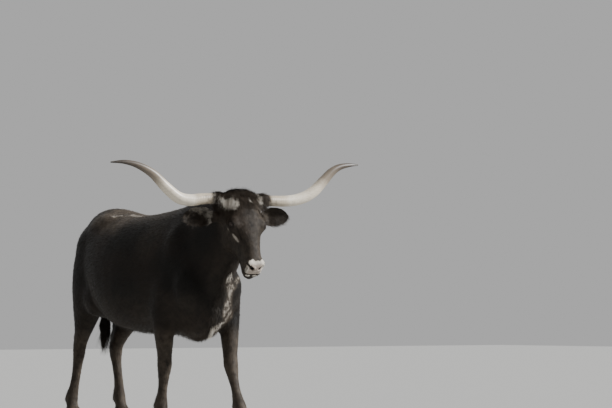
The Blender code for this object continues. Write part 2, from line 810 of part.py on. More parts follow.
def ear(name, side):
    """A leaf-shaped ear, a round stalk at its root that opens into a cup."""
    root, along, across, facing = ear_frame(side)
    half = 6
    rings = []
    for share, width_share in between(EAR_OUTLINE, 2):
        half_width = EAR_HALF_WIDTH * width_share
        opening = min(max((share - 0.04) / 0.22, 0.0), 1.0)
        back = 0.024 * (1 - 0.45 * share) * min(1.0, width_share * 1.3)
        front = 0.020 * (1 - opening) - opening * (back - EAR_THICKNESS)
        rim = half_width - EAR_THICKNESS * 0.5 * opening
        centre = root + along * (GAP + EAR_LENGTH * share)
        centre.z -= 0.012 * share * share
        ring = []
        for step in range(half):
            angle = math.pi * (step + 0.5) / half
            outer = half_width * math.cos(angle)
            ring.append(centre + across * outer - facing * (back * math.sin(angle)))
        for step in range(half):
            angle = math.pi * (half - step - 0.5) / half
            inner = rim * math.cos(angle)
            ring.append(centre + across * inner + facing * (front * math.sin(angle)))
        rings.append(ring)
    return loft(name, rings)


def ear_bed(side):
    """The space that the head leaves free from the flat root of an ear outwards."""
    root, along, across, facing = ear_frame(side)
    axes = Matrix((along, across, facing)).transposed().to_4x4()
    corner = (0.0, -EAR_BED[1] / 2, -EAR_BED[2] / 2)
    return block("ear_bed", corner, EAR_BED, Matrix.Translation(root) @ axes)


def tail_rings(rows, grow=0.0):
    """Round rings square to a line of places and radii."""
    rings = []
    for index, (x, y, z, radius) in enumerate(rows):
        here = Vector((x, y, z))
        before = Vector(rows[max(index - 1, 0)][:3])
        after = Vector(rows[min(index + 1, len(rows) - 1)][:3])
        run = (after - before).normalized()
        sideways = Vector((1.0, 0.0, 0.0))
        sideways = (sideways - run * sideways.dot(run)).normalized()
        outward = run.cross(sideways)
        start = run * (-grow if index == 0 else 0.0)
        ring = []
        for step in range(TAIL_SIDES):
            angle = 2 * math.pi * step / TAIL_SIDES
            offset = sideways * math.cos(angle) + outward * math.sin(angle)
            ring.append(here + start + offset * (radius + grow))
        rings.append(ring)
    return rings


def tail(name, grow=0.0):
    """The tail's bone and skin, from the rump down between the hocks."""
    return loft(name, tail_rings(between(TAIL, TAIL_STEPS), grow))


def lock(name, root, heading, bend, facing, sizes, scale=1.0):
    """A flat tapered lock that leaves its root one way and bends towards another."""
    steps = sizes["steps"]
    rings = []
    here = Vector(root)
    for index in range(steps + 1):
        share = index / steps
        run = heading.lerp(bend, share).normalized()
        across = run.cross(facing).normalized()
        outward = across.cross(run)
        wide = across * (sizes["width"] / 2 * (1 - 0.88 * share ** 1.6))
        thick = outward * (sizes["thickness"] / 2 * (1 - 0.75 * share))
        rings.append([here + wide, here + thick, here - wide, here - thick])
        here = here + run * (sizes["length"] * scale / steps)
    return loft(name, rings)


def switch(name):
    """The tail's switch: locks that hang from a core below the tail's end."""
    end = Vector(TAIL[-1][:3])
    run = (end - Vector(between(TAIL, TAIL_STEPS)[-2][:3])).normalized()
    rows = []
    for below, radius in SWITCH_CORE:
        place = end + run * (GAP + below)
        rows.append((place.x, place.y, place.z, radius))
    core = loft(name, tail_rings(rows))
    chance = random.Random(SEED)
    locks = []
    for index in range(SWITCH_LOCKS["count"]):
        angle = 2.4 * index
        outward = Vector((math.cos(angle), math.sin(angle), 0.0))
        first, last = SWITCH_ROOTS
        below = first + (last - first) * index / SWITCH_LOCKS["count"]
        root = end + run * below + outward * SWITCH_LOCKS["depth"]
        heading = run + outward * chance.uniform(0.06, 0.14)
        bend = run + outward * chance.uniform(-0.10, 0.05)
        scale = chance.uniform(0.78, 1.0)
        locks.append(lock("lock", root, heading, bend, outward, SWITCH_LOCKS, scale))
    combine(core, locks, "UNION")
    keep_largest(core)
    return core


def poll_locks(head):
    """The tuft between the horns, combed forward and to both sides."""
    form = bmesh.new()
    form.from_mesh(head.data)
    tree = BVHTree.FromBMesh(form)
    form.free()
    chance = random.Random(SEED + 1)
    turn = HEAD.to_3x3()
    locks = []
    count = POLL_LOCKS["count"]
    for index in range(count):
        share = (index + 0.5) / count * 2 - 1
        across = POLL_REACH * share
        down = POLL_ROWS[index % len(POLL_ROWS)] + chance.uniform(-0.005, 0.005)
        place, normal, _, _ = tree.find_nearest(on_head(across, down, 0.070))
        comb = turn @ Vector((0.45 * share, -0.90, 0.10))
        comb = (comb - normal * comb.dot(normal)).normalized()
        heading = comb + normal * 0.40
        bend = comb - normal * chance.uniform(0.12, 0.24)
        root = place - normal * POLL_LOCKS["depth"]
        scale = chance.uniform(0.8, 1.0)
        locks.append(lock("lock", root, heading, bend, normal, POLL_LOCKS, scale))
    return locks


def ear_locks(side):
    """The long hair inside an ear's cup."""
    root, along, across, facing = ear_frame(side)
    chance = random.Random(SEED + 2)
    locks = []
    for index in range(EAR_LOCKS["count"]):
        share = EAR_ROOTS[0] + EAR_ROOTS[1] * index
        place = root + along * (EAR_LENGTH * share) + across * chance.uniform(-0.012, 0.020)
        back = 0.024 * (1 - 0.45 * share)
        place = place - facing * (back - EAR_LOCKS["depth"])
        heading = along * 0.8 - across * 0.35 + facing * 0.45
        bend = along * 0.7 - across * 0.75 + facing * 0.05
        scale = chance.uniform(0.8, 1.0)
        locks.append(lock("lock", place, heading, bend, facing, EAR_LOCKS, scale))
    return locks


def eye_place(side):
    """The middle of an eyeball."""
    return on_head(side * EYE_CENTRE[0], EYE_CENTRE[1], EYE_CENTRE[2])


def eyeball(name, side, grow=0.0):
    """An eyeball."""
    radius = EYE_RADIUS + grow
    turn = HEAD.to_3x3().to_4x4()
    return ball(name, eye_place(side), (radius, radius, radius), turn, rings=9)


def lid_mound(side):
    """The rounded mass of both lids over an eye."""
    turn = HEAD.to_3x3().to_4x4() @ Matrix.Rotation(math.radians(-side * EYE_FACING), 4, "Y")
    return ball("lids", eye_place(side), LID_RADII, turn)


def eye_opening(side):
    """The almond-shaped opening between the lids."""
    turn = HEAD.to_3x3().to_4x4() @ Matrix.Rotation(math.radians(-side * EYE_FACING), 4, "Y")
    outward = (turn @ Vector((side, 0.0, 0.0))).normalized()
    place = eye_place(side) + outward * OPENING_OUT
    return ball("eye_opening", place, OPENING_RADII, turn, rings=9)


def surface_path(tree, places):
    """The nearest points of the surface to a list of places."""
    return [tree.find_nearest(place)[0] for place in places]


def bent_rod(name, points, radius, sides=6):
    """A closed rod through points, its ends tapered."""
    last = len(points) - 1
    rings = []
    for index, here in enumerate(points):
        run = (points[min(index + 1, last)] - points[max(index - 1, 0)]).normalized()
        guide = HEAD.to_3x3() @ Vector((0.0, 1.0, 0.0))
        sideways = (guide - run * guide.dot(run)).normalized()
        outward = run.cross(sideways)
        end = min(index, last - index) / 2
        size = radius * min(1.0, 0.35 + end * 0.65)
        ring = []
        for step in range(sides):
            angle = 2 * math.pi * step / sides
            ring.append(here + (sideways * math.cos(angle) + outward * math.sin(angle)) * size)
        rings.append(ring)
    return loft(name, rings)


def mouth_line(tree):
    """The groove between the lips, round the front of the muzzle to both corners."""
    places = []
    half = 7
    for step in range(-half, half + 1):
        share = step / half
        back = abs(share) ** 1.6
        down = MOUTH_FRONT[0] + (MOUTH_CORNER[0] - MOUTH_FRONT[0]) * back
        out = MOUTH_FRONT[1] + (MOUTH_CORNER[1] - MOUTH_FRONT[1]) * back
        across = MOUTH_REACH * math.sin(share * math.radians(88))
        places.append(on_head(across, down, out))
    return bent_rod("mouth_line", surface_path(tree, places), MOUTH_RADIUS)


def nostrils(tree):
    """A slanted comma-shaped opening on each side of the muzzle's front."""
    pieces = []
    for side in (RIGHT, LEFT):
        across, down, out = NOSTRIL_PLACE
        place = tree.find_nearest(on_head(side * across, down, out))[0]
        slant = Matrix.Rotation(math.radians(side * NOSTRIL_SLANT), 4, "Z")
        turn = HEAD.to_3x3().to_4x4() @ slant
        pieces.append(ball("nostril", place, NOSTRIL_RADII, turn, rings=8))
    return pieces


def make_head(body):
    """The head with its lids, nostrils, lips and sockets, cut from the flesh."""
    head = copy_of(body, "head")
    crop(head, HEAD_CUT + HEAD_CUT_NORMAL * 0.03, HEAD_CUT_NORMAL)
    pieces = [head] + [lid_mound(side) for side in (RIGHT, LEFT)]
    head = fuse("head", pieces, HEAD_VOXEL, HEAD_PASSES)
    thin_out(head, HEAD_TRIANGLES)
    form = bmesh.new()
    form.from_mesh(head.data)
    tree = BVHTree.FromBMesh(form)
    form.free()
    cutters = [half_space("neck_side", HEAD_CUT, HEAD_CUT_NORMAL)]
    cutters += [mouth_line(tree)] + nostrils(tree)
    for side in (RIGHT, LEFT):
        cutters.append(eyeball("socket", side, GAP))
        cutters.append(horn("horn_socket", side, GAP))
        cutters.append(ear_bed(side))
    combine(head, cutters, "DIFFERENCE")
    combine(head, [eye_opening(side) for side in (RIGHT, LEFT)], "DIFFERENCE")
    combine(head, poll_locks(head), "UNION")
    keep_largest(head)
    return head


def make_body_parts(body):
    """Neck, torso and legs, parted by thin cuts."""
    crop(body, HEAD_CUT - HEAD_CUT_NORMAL * 0.04, -HEAD_CUT_NORMAL)
    thin_out(body, BODY_TRIANGLES)
    neck = copy_of(body, "neck")
    head_side = half_space("head_side", HEAD_CUT, -HEAD_CUT_NORMAL, -GAP)
    torso_side = half_space("torso_side", NECK_CUT, NECK_CUT_NORMAL)
    combine(neck, [head_side, torso_side], "DIFFERENCE")
    torso = copy_of(body, "torso")
    cutters = [half_space("neck_side", NECK_CUT, -NECK_CUT_NORMAL, -GAP)]
    cutters += [leg_cutter(name, GAP) for name in LEGS] + [tail("tail_socket", TAIL_GAP)]
    combine(torso, cutters, "DIFFERENCE")
    parts = {"neck": neck, "torso": torso}
    for name, (rows, side) in LEGS.items():
        leg = copy_of(body, name)
        combine(leg, [leg_cutter(name)], "INTERSECT")
        point, normal = coronet_plane(rows)
        combine(leg, [half_space("below_coronet", point, -normal)], "DIFFERENCE")
        parts[name] = leg
    remove([body])
    for part in parts.values():
        keep_largest(part)
    return parts


def build():
    """Every solid of the animal by name."""
    body = flesh()
    parts = {"head": make_head(body)}
    parts.update(make_body_parts(body))
    for name, (rows, side) in LEGS.items():
        foot = name.replace("foreleg", "fore").replace("hind_leg", "hind")
        for inner, place in ((True, "inner"), (False, "outer")):
            hoof = "hoof_" + foot + "_" + place
            parts[hoof] = claw(hoof, rows, side, inner)
    for side in (RIGHT, LEFT):
        word = SIDE_NAMES[side]
        parts["horn_" + word] = horn("horn_" + word, side)
        leaf = ear("ear_" + word, side)
        combine(leaf, ear_locks(side), "UNION")
        keep_largest(leaf)
        parts["ear_" + word] = leaf
        parts["eye_" + word] = eyeball("eye_" + word, side)
    parts["tail"] = tail("tail")
    parts["tail_switch"] = switch("tail_switch")
    return parts


# Colour, roughness and metallic value of each kind of surface
FINISHES = {
    "hide": ((0.020, 0.016, 0.013, 1.0), 0.62, 0.0),
    "horn": ((0.62, 0.58, 0.50, 1.0), 0.38, 0.0),
    "hoof": ((0.045, 0.038, 0.032, 1.0), 0.50, 0.0),
    "eye": ((0.012, 0.009, 0.007, 1.0), 0.08, 0.0),
    "hair": ((0.016, 0.013, 0.011, 1.0), 0.70, 0.0),
}


def finish_of(name):
    """Which kind of surface a node has."""
    for word in ("horn", "hoof", "eye"):
        if name.startswith(word):
            return word
    return "hair" if name == "tail_switch" else "hide"


def give_material(thing):
    """A plain material of the node's own, in the colour of its surface."""
    colour, roughness, metallic = FINISHES[finish_of(thing.name)]
    material = bpy.data.materials.new(thing.name)
    material.use_nodes = True
    shader = material.node_tree.nodes["Principled BSDF"]
    shader.inputs["Base Color"].default_value = colour
    shader.inputs["Roughness"].default_value = roughness
    shader.inputs["Metallic"].default_value = metallic
    thing.data.materials.clear()
    thing.data.materials.append(material)


def main():
    for thing in list(bpy.data.objects):
        bpy.data.objects.remove(thing)
    group = bpy.data.collections.new(COLLECTION)
    bpy.context.scene.collection.children.link(group)
    for name, thing in build().items():
        finish(thing, name)
        give_material(thing)
        bpy.context.scene.collection.objects.unlink(thing)
        group.objects.link(thing)


main()
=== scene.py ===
# A Texas longhorn at life size: skin, coat, horns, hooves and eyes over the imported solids
import math

import bmesh
import bpy
import numpy as np
from mathutils import Matrix, Vector
from mathutils.bvhtree import BVHTree


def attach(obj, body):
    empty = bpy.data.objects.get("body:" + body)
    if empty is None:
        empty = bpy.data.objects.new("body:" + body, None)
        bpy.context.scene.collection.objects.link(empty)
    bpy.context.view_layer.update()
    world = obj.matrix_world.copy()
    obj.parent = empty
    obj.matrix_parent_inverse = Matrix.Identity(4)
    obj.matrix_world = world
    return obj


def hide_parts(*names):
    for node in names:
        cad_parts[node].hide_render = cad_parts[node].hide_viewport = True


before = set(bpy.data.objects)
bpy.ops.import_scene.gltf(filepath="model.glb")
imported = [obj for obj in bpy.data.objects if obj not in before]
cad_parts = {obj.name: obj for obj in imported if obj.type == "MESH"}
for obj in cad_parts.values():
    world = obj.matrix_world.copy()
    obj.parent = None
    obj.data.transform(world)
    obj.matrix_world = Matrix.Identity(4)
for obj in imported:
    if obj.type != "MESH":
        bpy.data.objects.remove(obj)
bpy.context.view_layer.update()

# the head's own frame: middle of the horn axis, slope of the face, turn to its right
headPlace = {"axis": Vector((0.006, -0.785, 1.371)), "slope": 64.0, "turn": 9.0}
headTurn = Matrix.Rotation(math.radians(-headPlace["turn"]), 3, "Z")
bodyMiddle = 0.012  # the body's middle plane, to its left of the origin


def headFrame():
    slope = math.radians(headPlace["slope"])
    upFace = Vector((0.0, math.cos(slope), math.sin(slope)))
    outFace = Vector((0.0, -math.sin(slope), math.cos(slope)))
    axes = Matrix((Vector((1.0, 0.0, 0.0)), upFace, outFace)).transposed()
    return Matrix.Translation(headPlace["axis"]) @ headTurn.to_4x4() @ axes.to_4x4()


headMatrix = headFrame()
headAxes = np.array(headMatrix.to_3x3())  # columns: to its left, up the face, out of the face


def onHead(across, down, out):
    return headMatrix @ Vector((across, -down, out))


def inHead(points):  # across, down the face and out of it, for an array of places
    inverse = np.array(headMatrix.inverted())
    local = points @ inverse[:3, :3].T + inverse[:3, 3]
    local[:, 1] *= -1
    return local


def step(low, high, value):  # a soft step from 0 to 1
    t = np.clip((value - low) / (high - low), 0.0, 1.0)
    return t * t * (3 - 2 * t)


# 1 where each value lies in its band, with soft ends: outer and inner below, then inner and outer above
def within(*bands):
    share = 1.0
    for value, low, lowInner, highInner, high in bands:
        share = share * step(low, lowInner, value) * step(high, highInner, value)
    return share


def lineDistance(points, rows):  # how far points lie from a line of straight parts, and where along it
    nearest = np.full(len(points), 9.0)
    share = np.zeros(len(points))
    for index, (start, end) in enumerate(zip(np.array(rows[:-1], float), np.array(rows[1:], float))):
        run = end - start
        t = np.clip(((points - start) @ run) / (run @ run), 0.0, 1.0)
        distance = np.linalg.norm(points - start - t[:, None] * run, axis=1)
        share = np.where(distance < nearest, (index + t) / (len(rows) - 1), share)
        nearest = np.minimum(nearest, distance)
    return nearest, share


def patchDistance(points, outline):  # distance from a flat outline, below zero inside it
    inside = np.zeros(len(points), bool)
    across, down = points.T
    for (x1, y1), (x2, y2) in zip(outline, outline[1:] + outline[:1]):
        crossing = (y1 > down) != (y2 > down)
        level = np.where(y1 == y2, 1.0, y2 - y1)
        inside ^= crossing & (across < (x2 - x1) * (down - y1) / level + x1)
    distance = lineDistance(points, list(outline) + [outline[0]])[0]
    return np.where(inside, -distance, distance)


def addObject(name, data):
    thing = bpy.data.objects.new(name, data)
    bpy.context.scene.collection.objects.link(thing)
    return thing


def dropObject(thing):
    mesh = thing.data
    bpy.data.objects.remove(thing)
    bpy.data.meshes.remove(mesh)


def perPoint(mesh, field):  # "co" gives the places, "normal" the ways out of the surface
    values = np.zeros(len(mesh.vertices) * 3)
    mesh.vertices.foreach_get(field, values)
    return values.reshape(-1, 3)


def setPlaces(mesh, values):
    mesh.vertices.foreach_set("co", values.ravel())
    mesh.update()


def triangleCount(mesh):
    return sum(len(face.vertices) - 2 for face in mesh.polygons)


def openForm(*meshes):  # meshes opened for editing, as one form
    form = bmesh.new()
    for mesh in meshes:
        form.from_mesh(mesh)
    return form


def closeForm(form, mesh):
    form.to_mesh(mesh)
    form.free()
    return mesh


def splitWideFaces(form):
    bmesh.ops.triangulate(form, faces=[face for face in form.faces if len(face.verts) > 4])


def joinNodes(name, nodes):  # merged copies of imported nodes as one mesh
    form = openForm(*[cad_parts[node].data for node in nodes])
    bmesh.ops.remove_doubles(form, verts=form.verts, dist=0.00001)
    return addObject(name, closeForm(form, bpy.data.meshes.new(name)))


def joinThings(name, things):
    mesh = closeForm(openForm(*[thing.data for thing in things]), bpy.data.meshes.new(name))
    for thing in things:
        dropObject(thing)
    return addObject(name, mesh)


def settle(thing):  # modifiers become the plain mesh
    bpy.context.view_layer.update()
    graph = bpy.context.evaluated_depsgraph_get()
    mesh = bpy.data.meshes.new_from_object(thing.evaluated_get(graph))
    old = thing.data
    thing.modifiers.clear()
    thing.data = mesh
    bpy.data.meshes.remove(old)
    mesh.name = thing.name


def remesh(thing, voxel):
    modifier = thing.modifiers.new("voxels", "REMESH")
    modifier.mode = "VOXEL"
    modifier.voxel_size = voxel
    settle(thing)


# evens facets out; the step back keeps the volume
def relax(thing, passes, weight=None, ahead=0.55, back=-0.565):
    mesh = thing.data
    edges = np.zeros(len(mesh.edges) * 2, np.int64)
    mesh.edges.foreach_get("vertices", edges)
    first, second = edges.reshape(-1, 2).T
    count = len(mesh.vertices)
    degree = np.bincount(first, minlength=count) + np.bincount(second, minlength=count)
    degree = np.maximum(degree, 1)
    here = perPoint(mesh, "co")
    amount = 1.0 if weight is None else weight[:, None]
    for _ in range(passes):
        for factor in ((ahead, back) if back else (ahead,)):
            total = np.empty_like(here)
            for axis in range(3):
                total[:, axis] = (np.bincount(first, here[second, axis], count)
                                  + np.bincount(second, here[first, axis], count))
            here = here + (total / degree[:, None] - here) * (factor * amount)
    setPlaces(mesh, here)


def cropForm(thing, point, normal):  # cuts off the side the normal points to, and closes it
    form = openForm(thing.data)
    everything = form.verts[:] + form.edges[:] + form.faces[:]
    cut = bmesh.ops.bisect_plane(form, geom=everything, plane_co=point, plane_no=normal, clear_outer=True)
    rim = [edge for edge in cut["geom_cut"] if isinstance(edge, bmesh.types.BMEdge)]
    bmesh.ops.edgeloop_fill(form, edges=rim)
    splitWideFaces(form)
    closeForm(form, thing.data)


def storeField(mesh, name, values):  # one number or one vector for each point
    kind = "FLOAT_VECTOR" if values.ndim == 2 else "FLOAT"
    field = mesh.attributes.new(name, kind, "POINT")
    field.data.foreach_set("vector" if values.ndim == 2 else "value", values.astype(np.float32).ravel())


def ringMesh(name, rings, around=False, fields=()):  # a closed form through rings of equal count
    count = len(rings[0])
    points = np.array(rings).reshape(-1, 3)
    faces = []
    for row in range(len(rings) if around else len(rings) - 1):
        following = (row + 1) % len(rings)
        for side in range(count):
            beside = (side + 1) % count
            faces.append((row * count + side, row * count + beside,
                          following * count + beside, following * count + side))
    if not around:
        last = (len(rings) - 1) * count
        for side in range(count):
            beside = (side + 1) % count
            faces.append((beside, side, len(points)))
            faces.append((last + side, last + beside, len(points) + 1))
        points = np.vstack([points, np.mean(rings[0], 0), np.mean(rings[-1], 0)])
    mesh = bpy.data.meshes.new(name)
    mesh.from_pydata([tuple(point) for point in points], [], faces)
    form = openForm(mesh)
    form.normal_update()
    bmesh.ops.recalc_face_normals(form, faces=form.faces)
    closeForm(form, mesh)
    for field, perRing in fields:
        values = np.repeat(np.array(perRing, float), count)
        storeField(mesh, field, np.append(values, [perRing[0], perRing[-1]]))
    mesh.shade_smooth()
    return addObject(name, mesh)


def curveThrough(rows, steps):  # a smooth line through rows of numbers
    rows = np.array(rows, float)
    result = []
    last = len(rows) - 1
    for index in range(last):
        a, b, c, d = (rows[min(max(index + k, 0), last)] for k in (-1, 0, 1, 2))
        for part in range(steps):
            t = part / steps
            result.append(0.5 * (2 * b + (c - a) * t + (2 * a - 5 * b + 4 * c - d) * t * t
                                 + (3 * b - a - 3 * c + d) * t ** 3))
    result.append(rows[last])
    return np.array(result)


def linear(code):  # an sRGB hex colour as linear values
    parts = [int(code[k:k + 2], 16) / 255 for k in (1, 3, 5)]
    return tuple(v / 12.92 if v <= 0.04045 else ((v + 0.055) / 1.055) ** 2.4 for v in parts) + (1.0,)


def feed(tree, node, links):  # an input takes a value, a hex colour, a socket or another node's result
    for socket, value in dict(links).items():
        if isinstance(value, bpy.types.Node):
            value = next(output for output in value.outputs if output.enabled)
        if isinstance(value, bpy.types.NodeSocket):
            tree.links.new(value, node.inputs[socket])
        else:
            isColour = isinstance(value, str) and value.startswith("#")
            node.inputs[socket].default_value = linear(value) if isColour else value


def addNode(tree, kind, links=(), **settings):
    node = tree.nodes.new(kind)
    for key, value in settings.items():
        setattr(node, key, value)
    feed(tree, node, links)
    return node


def newMaterial(name):
    material = bpy.data.materials.new(name)
    material.use_nodes = True
    tree = material.node_tree
    spot = addNode(tree, "ShaderNodeTexCoord").outputs["Object"]
    return material, tree, tree.nodes["Principled BSDF"], spot


coatLook = {
    "black": "#0e0c0a",
    "brown": "#1c1510",
    # paler brown of worn hair, also used for painted light
    "wornAndLit": "#534a40",
    "tip": "#4d4338",
    # white of the markings, also used for painted highlights
    "paleAndHighlight": "#e2ddd3",
    "cream": "#b8afa1",
    "broadScale": 3.2,      # sun-bleached areas about 300 mm across
    "fineScale": 26.0,      # flecks about 40 mm across
    "fineShare": 0.55,      # how much the flecks fray the edge of a white patch
    "edge": (0.70, 0.86),   # dark below, white above
    "tipShare": 0.22,
    "tuftRoughness": 0.55,
    "tuftSpecular": 0.18,
}


def coatColour(tree, spot):
    # dark coat: black that fades to brown, paler where sun and rubbing wear it and where painted light falls,
    # with white flecks and patches, some of them painted highlights
    wornAndLit, paleAndHighlight = [addNode(tree, "ShaderNodeAttribute", attribute_name=field).outputs["Fac"]
                   for field in ("wornAndLit", "paleAndHighlight")]
    broad = addNode(tree, "ShaderNodeTexNoise", {
        "Vector": spot, "Scale": coatLook["broadScale"], "Detail": 3.0})
    fine = addNode(tree, "ShaderNodeTexNoise", {
        "Vector": spot, "Scale": coatLook["fineScale"], "Detail": 5.0, "Roughness": 0.65})
    brownness = addNode(tree, "ShaderNodeMapRange", {"Value": broad, "From Min": 0.40, "From Max": 0.68})
    dark = addNode(tree, "ShaderNodeMix", {0: brownness, 6: coatLook["black"], 7: coatLook["brown"]},
                   data_type="RGBA")
    fleck = addNode(tree, "ShaderNodeMapRange", {"Value": fine, "From Min": 0.22, "From Max": 0.62})
    wornAndLitShare = addNode(tree, "ShaderNodeMath", {0: wornAndLit, 1: fleck}, operation="MULTIPLY")
    dark = addNode(tree, "ShaderNodeMix", {0: wornAndLitShare, 6: dark, 7: coatLook["wornAndLit"]}, data_type="RGBA")
    strength = addNode(tree, "ShaderNodeMath", {0: fine, 1: coatLook["fineShare"], 2: paleAndHighlight},
                       operation="MULTIPLY_ADD")
    patch = addNode(tree, "ShaderNodeMapRange", {
        "Value": strength, "From Min": coatLook["edge"][0], "From Max": coatLook["edge"][1]})
    age = addNode(tree, "ShaderNodeMapRange", {"Value": fine, "From Min": 0.35, "From Max": 0.70})
    pale = addNode(tree, "ShaderNodeMix", {0: age, 6: coatLook["paleAndHighlight"], 7: coatLook["cream"]},
                   data_type="RGBA")
    return addNode(tree, "ShaderNodeMix", {0: patch, 6: dark, 7: pale}, data_type="RGBA")


hideLook = {
    "nose": ("#bdb0a4", "#8f8378"),   # bare moist skin and its blotches
    "pitShade": "#0b0908",                 # painted shade inside the nostrils and between the lips
    "blotchScale": 70.0,              # blotches about 15 mm across
    "hairScale": (330.0, 34.0),       # streaks lie 1.5 mm apart, drawn at 3 mm to show, and run about 30 mm
    "flankSlope": -24.0,
    "pebbleScale": 260.0,             # pebbles of the nose about 4 mm across
    "lumpScale": 34.0,                # unevenness about 30 mm across
    "specular": 0.16,
}


def hideMaterial():
    # hide with a short sleek coat: hairs 15 to 25 mm long lie flat and give it a soft, dull shine
    material, tree, shader, spot = newMaterial("shortSleekHide")
    bare, pitShade, legPart = [addNode(tree, "ShaderNodeAttribute", attribute_name=field).outputs["Fac"]
                          for field in ("bare", "pitShade", "legPart")]
    mottle = addNode(tree, "ShaderNodeTexNoise", {
        "Vector": spot, "Scale": hideLook["blotchScale"], "Detail": 4.0})
    blotch = addNode(tree, "ShaderNodeMapRange", {"Value": mottle, "From Min": 0.35, "From Max": 0.68})
    nose = addNode(tree, "ShaderNodeMix", {0: blotch, 6: hideLook["nose"][0], 7: hideLook["nose"][1]},
                   data_type="RGBA")
    colour = addNode(tree, "ShaderNodeMix", {0: bare, 6: coatColour(tree, spot), 7: nose}, data_type="RGBA")
    # painted shade in the nostrils and the mouth's groove
    colour = addNode(tree, "ShaderNodeMix", {0: pitShade, 6: colour, 7: hideLook["pitShade"]}, data_type="RGBA")
    # hair streaks run along the flank, and down the legs
    apart, along = hideLook["hairScale"]
    slope = math.radians(hideLook["flankSlope"])
    flank = addNode(tree, "ShaderNodeMapping", {
        "Vector": spot, "Rotation": (slope, 0.0, 0.0), "Scale": (apart, along, apart)})
    shank = addNode(tree, "ShaderNodeMapping", {"Vector": spot, "Scale": (apart, apart, along)})
    flankHair, shankHair = [addNode(tree, "ShaderNodeTexNoise", {"Vector": way, "Scale": 1.0, "Detail": 2.0})
                            for way in (flank, shank)]
    streaks = addNode(tree, "ShaderNodeMix", {0: legPart, 2: flankHair, 3: shankHair})
    furred = addNode(tree, "ShaderNodeMath", {0: 1.0, 1: bare}, operation="SUBTRACT")
    furHeight = addNode(tree, "ShaderNodeMath", {0: streaks, 1: furred}, operation="MULTIPLY")
    pebbles = addNode(tree, "ShaderNodeTexVoronoi", {"Vector": spot, "Scale": hideLook["pebbleScale"]})
    pebbleHeight = addNode(tree, "ShaderNodeMath", {0: pebbles, 1: bare}, operation="MULTIPLY")
    lumps = addNode(tree, "ShaderNodeTexNoise", {"Vector": spot, "Scale": hideLook["lumpScale"], "Detail": 4.0})
    bump = addNode(tree, "ShaderNodeBump", {"Height": furHeight, "Strength": 0.5, "Distance": 0.0025})
    for height, strength, depth in ((pebbleHeight, 0.5, 0.0015), (lumps, 0.35, 0.0030)):
        bump = addNode(tree, "ShaderNodeBump", {
            "Height": height, "Strength": strength, "Distance": depth, "Normal": bump})
    dull = addNode(tree, "ShaderNodeMath", {0: streaks, 1: 0.16, 2: 0.48}, operation="MULTIPLY_ADD")
    rough = addNode(tree, "ShaderNodeMath", {0: bare, 1: -0.14, 2: dull}, operation="MULTIPLY_ADD")
    feed(tree, shader, {"Base Color": colour, "Normal": bump, "Roughness": rough,
                        "Specular IOR Level": hideLook["specular"]})
    return material


def furMaterial():
    # single tufts of the same coat, a little paler towards their tips
    material, tree, shader, spot = newMaterial("coatTuft")
    tipward = addNode(tree, "ShaderNodeAttribute", attribute_name="tipward").outputs["Fac"]
    tip = addNode(tree, "ShaderNodeMath", {0: tipward, 1: coatLook["tipShare"]}, operation="MULTIPLY")
    colour = addNode(tree, "ShaderNodeMix", {0: tip, 6: coatColour(tree, spot), 7: coatLook["tip"]},
                     data_type="RGBA")
    feed(tree, shader, {"Base Color": colour, "Roughness": coatLook["tuftRoughness"],
                        "Specular IOR Level": coatLook["tuftSpecular"]})
    return material


lidLook = {"skin": "#0f0c0a", "crests": "#2b231d", "roughness": 0.55, "specular": 0.2,
           "wrinkleScale": 420.0}   # wrinkles about 2 mm apart


def lidMaterial():
    # bare lid skin: dark, finely wrinkled and a little moist, with black lashes
    material, tree, shader, spot = newMaterial("bareLidSkin")
    wrinkle = addNode(tree, "ShaderNodeTexNoise", {
        "Vector": spot, "Scale": lidLook["wrinkleScale"], "Detail": 4.0})
    colour = addNode(tree, "ShaderNodeMix", {0: wrinkle, 6: lidLook["skin"], 7: lidLook["crests"]},
                     data_type="RGBA")
    bump = addNode(tree, "ShaderNodeBump", {"Height": wrinkle, "Strength": 0.5, "Distance": 0.0012})
    feed(tree, shader, {"Base Color": colour, "Normal": bump, "Roughness": lidLook["roughness"],
                        "Specular IOR Level": lidLook["specular"]})
    return material


hornLook = {
    "stops": ((0.05, "#8d8273"), (0.16, "#b4a894"), (0.27, "#c9bda8"), (0.31, "#e6ddcb"), (0.56, "#ddd2be"),
              (0.66, "#8b7f70"), (0.80, "#574d43"), (0.93, "#3d352f"), (1.00, "#2b2622")),
    "stain": "#4c4339",
    "stainShare": 0.8,
    "streak": "#7d705e",
    "streakShare": 0.3,
    "fibreScale": (40.0, 160.0, 160.0),   # fibres about 6 mm apart
    "mottleScale": 22.0,                  # mottling about 45 mm across
    "ringScale": 22.0,                    # growth rings about 12 mm apart near the base
    "ior": 1.55,
}


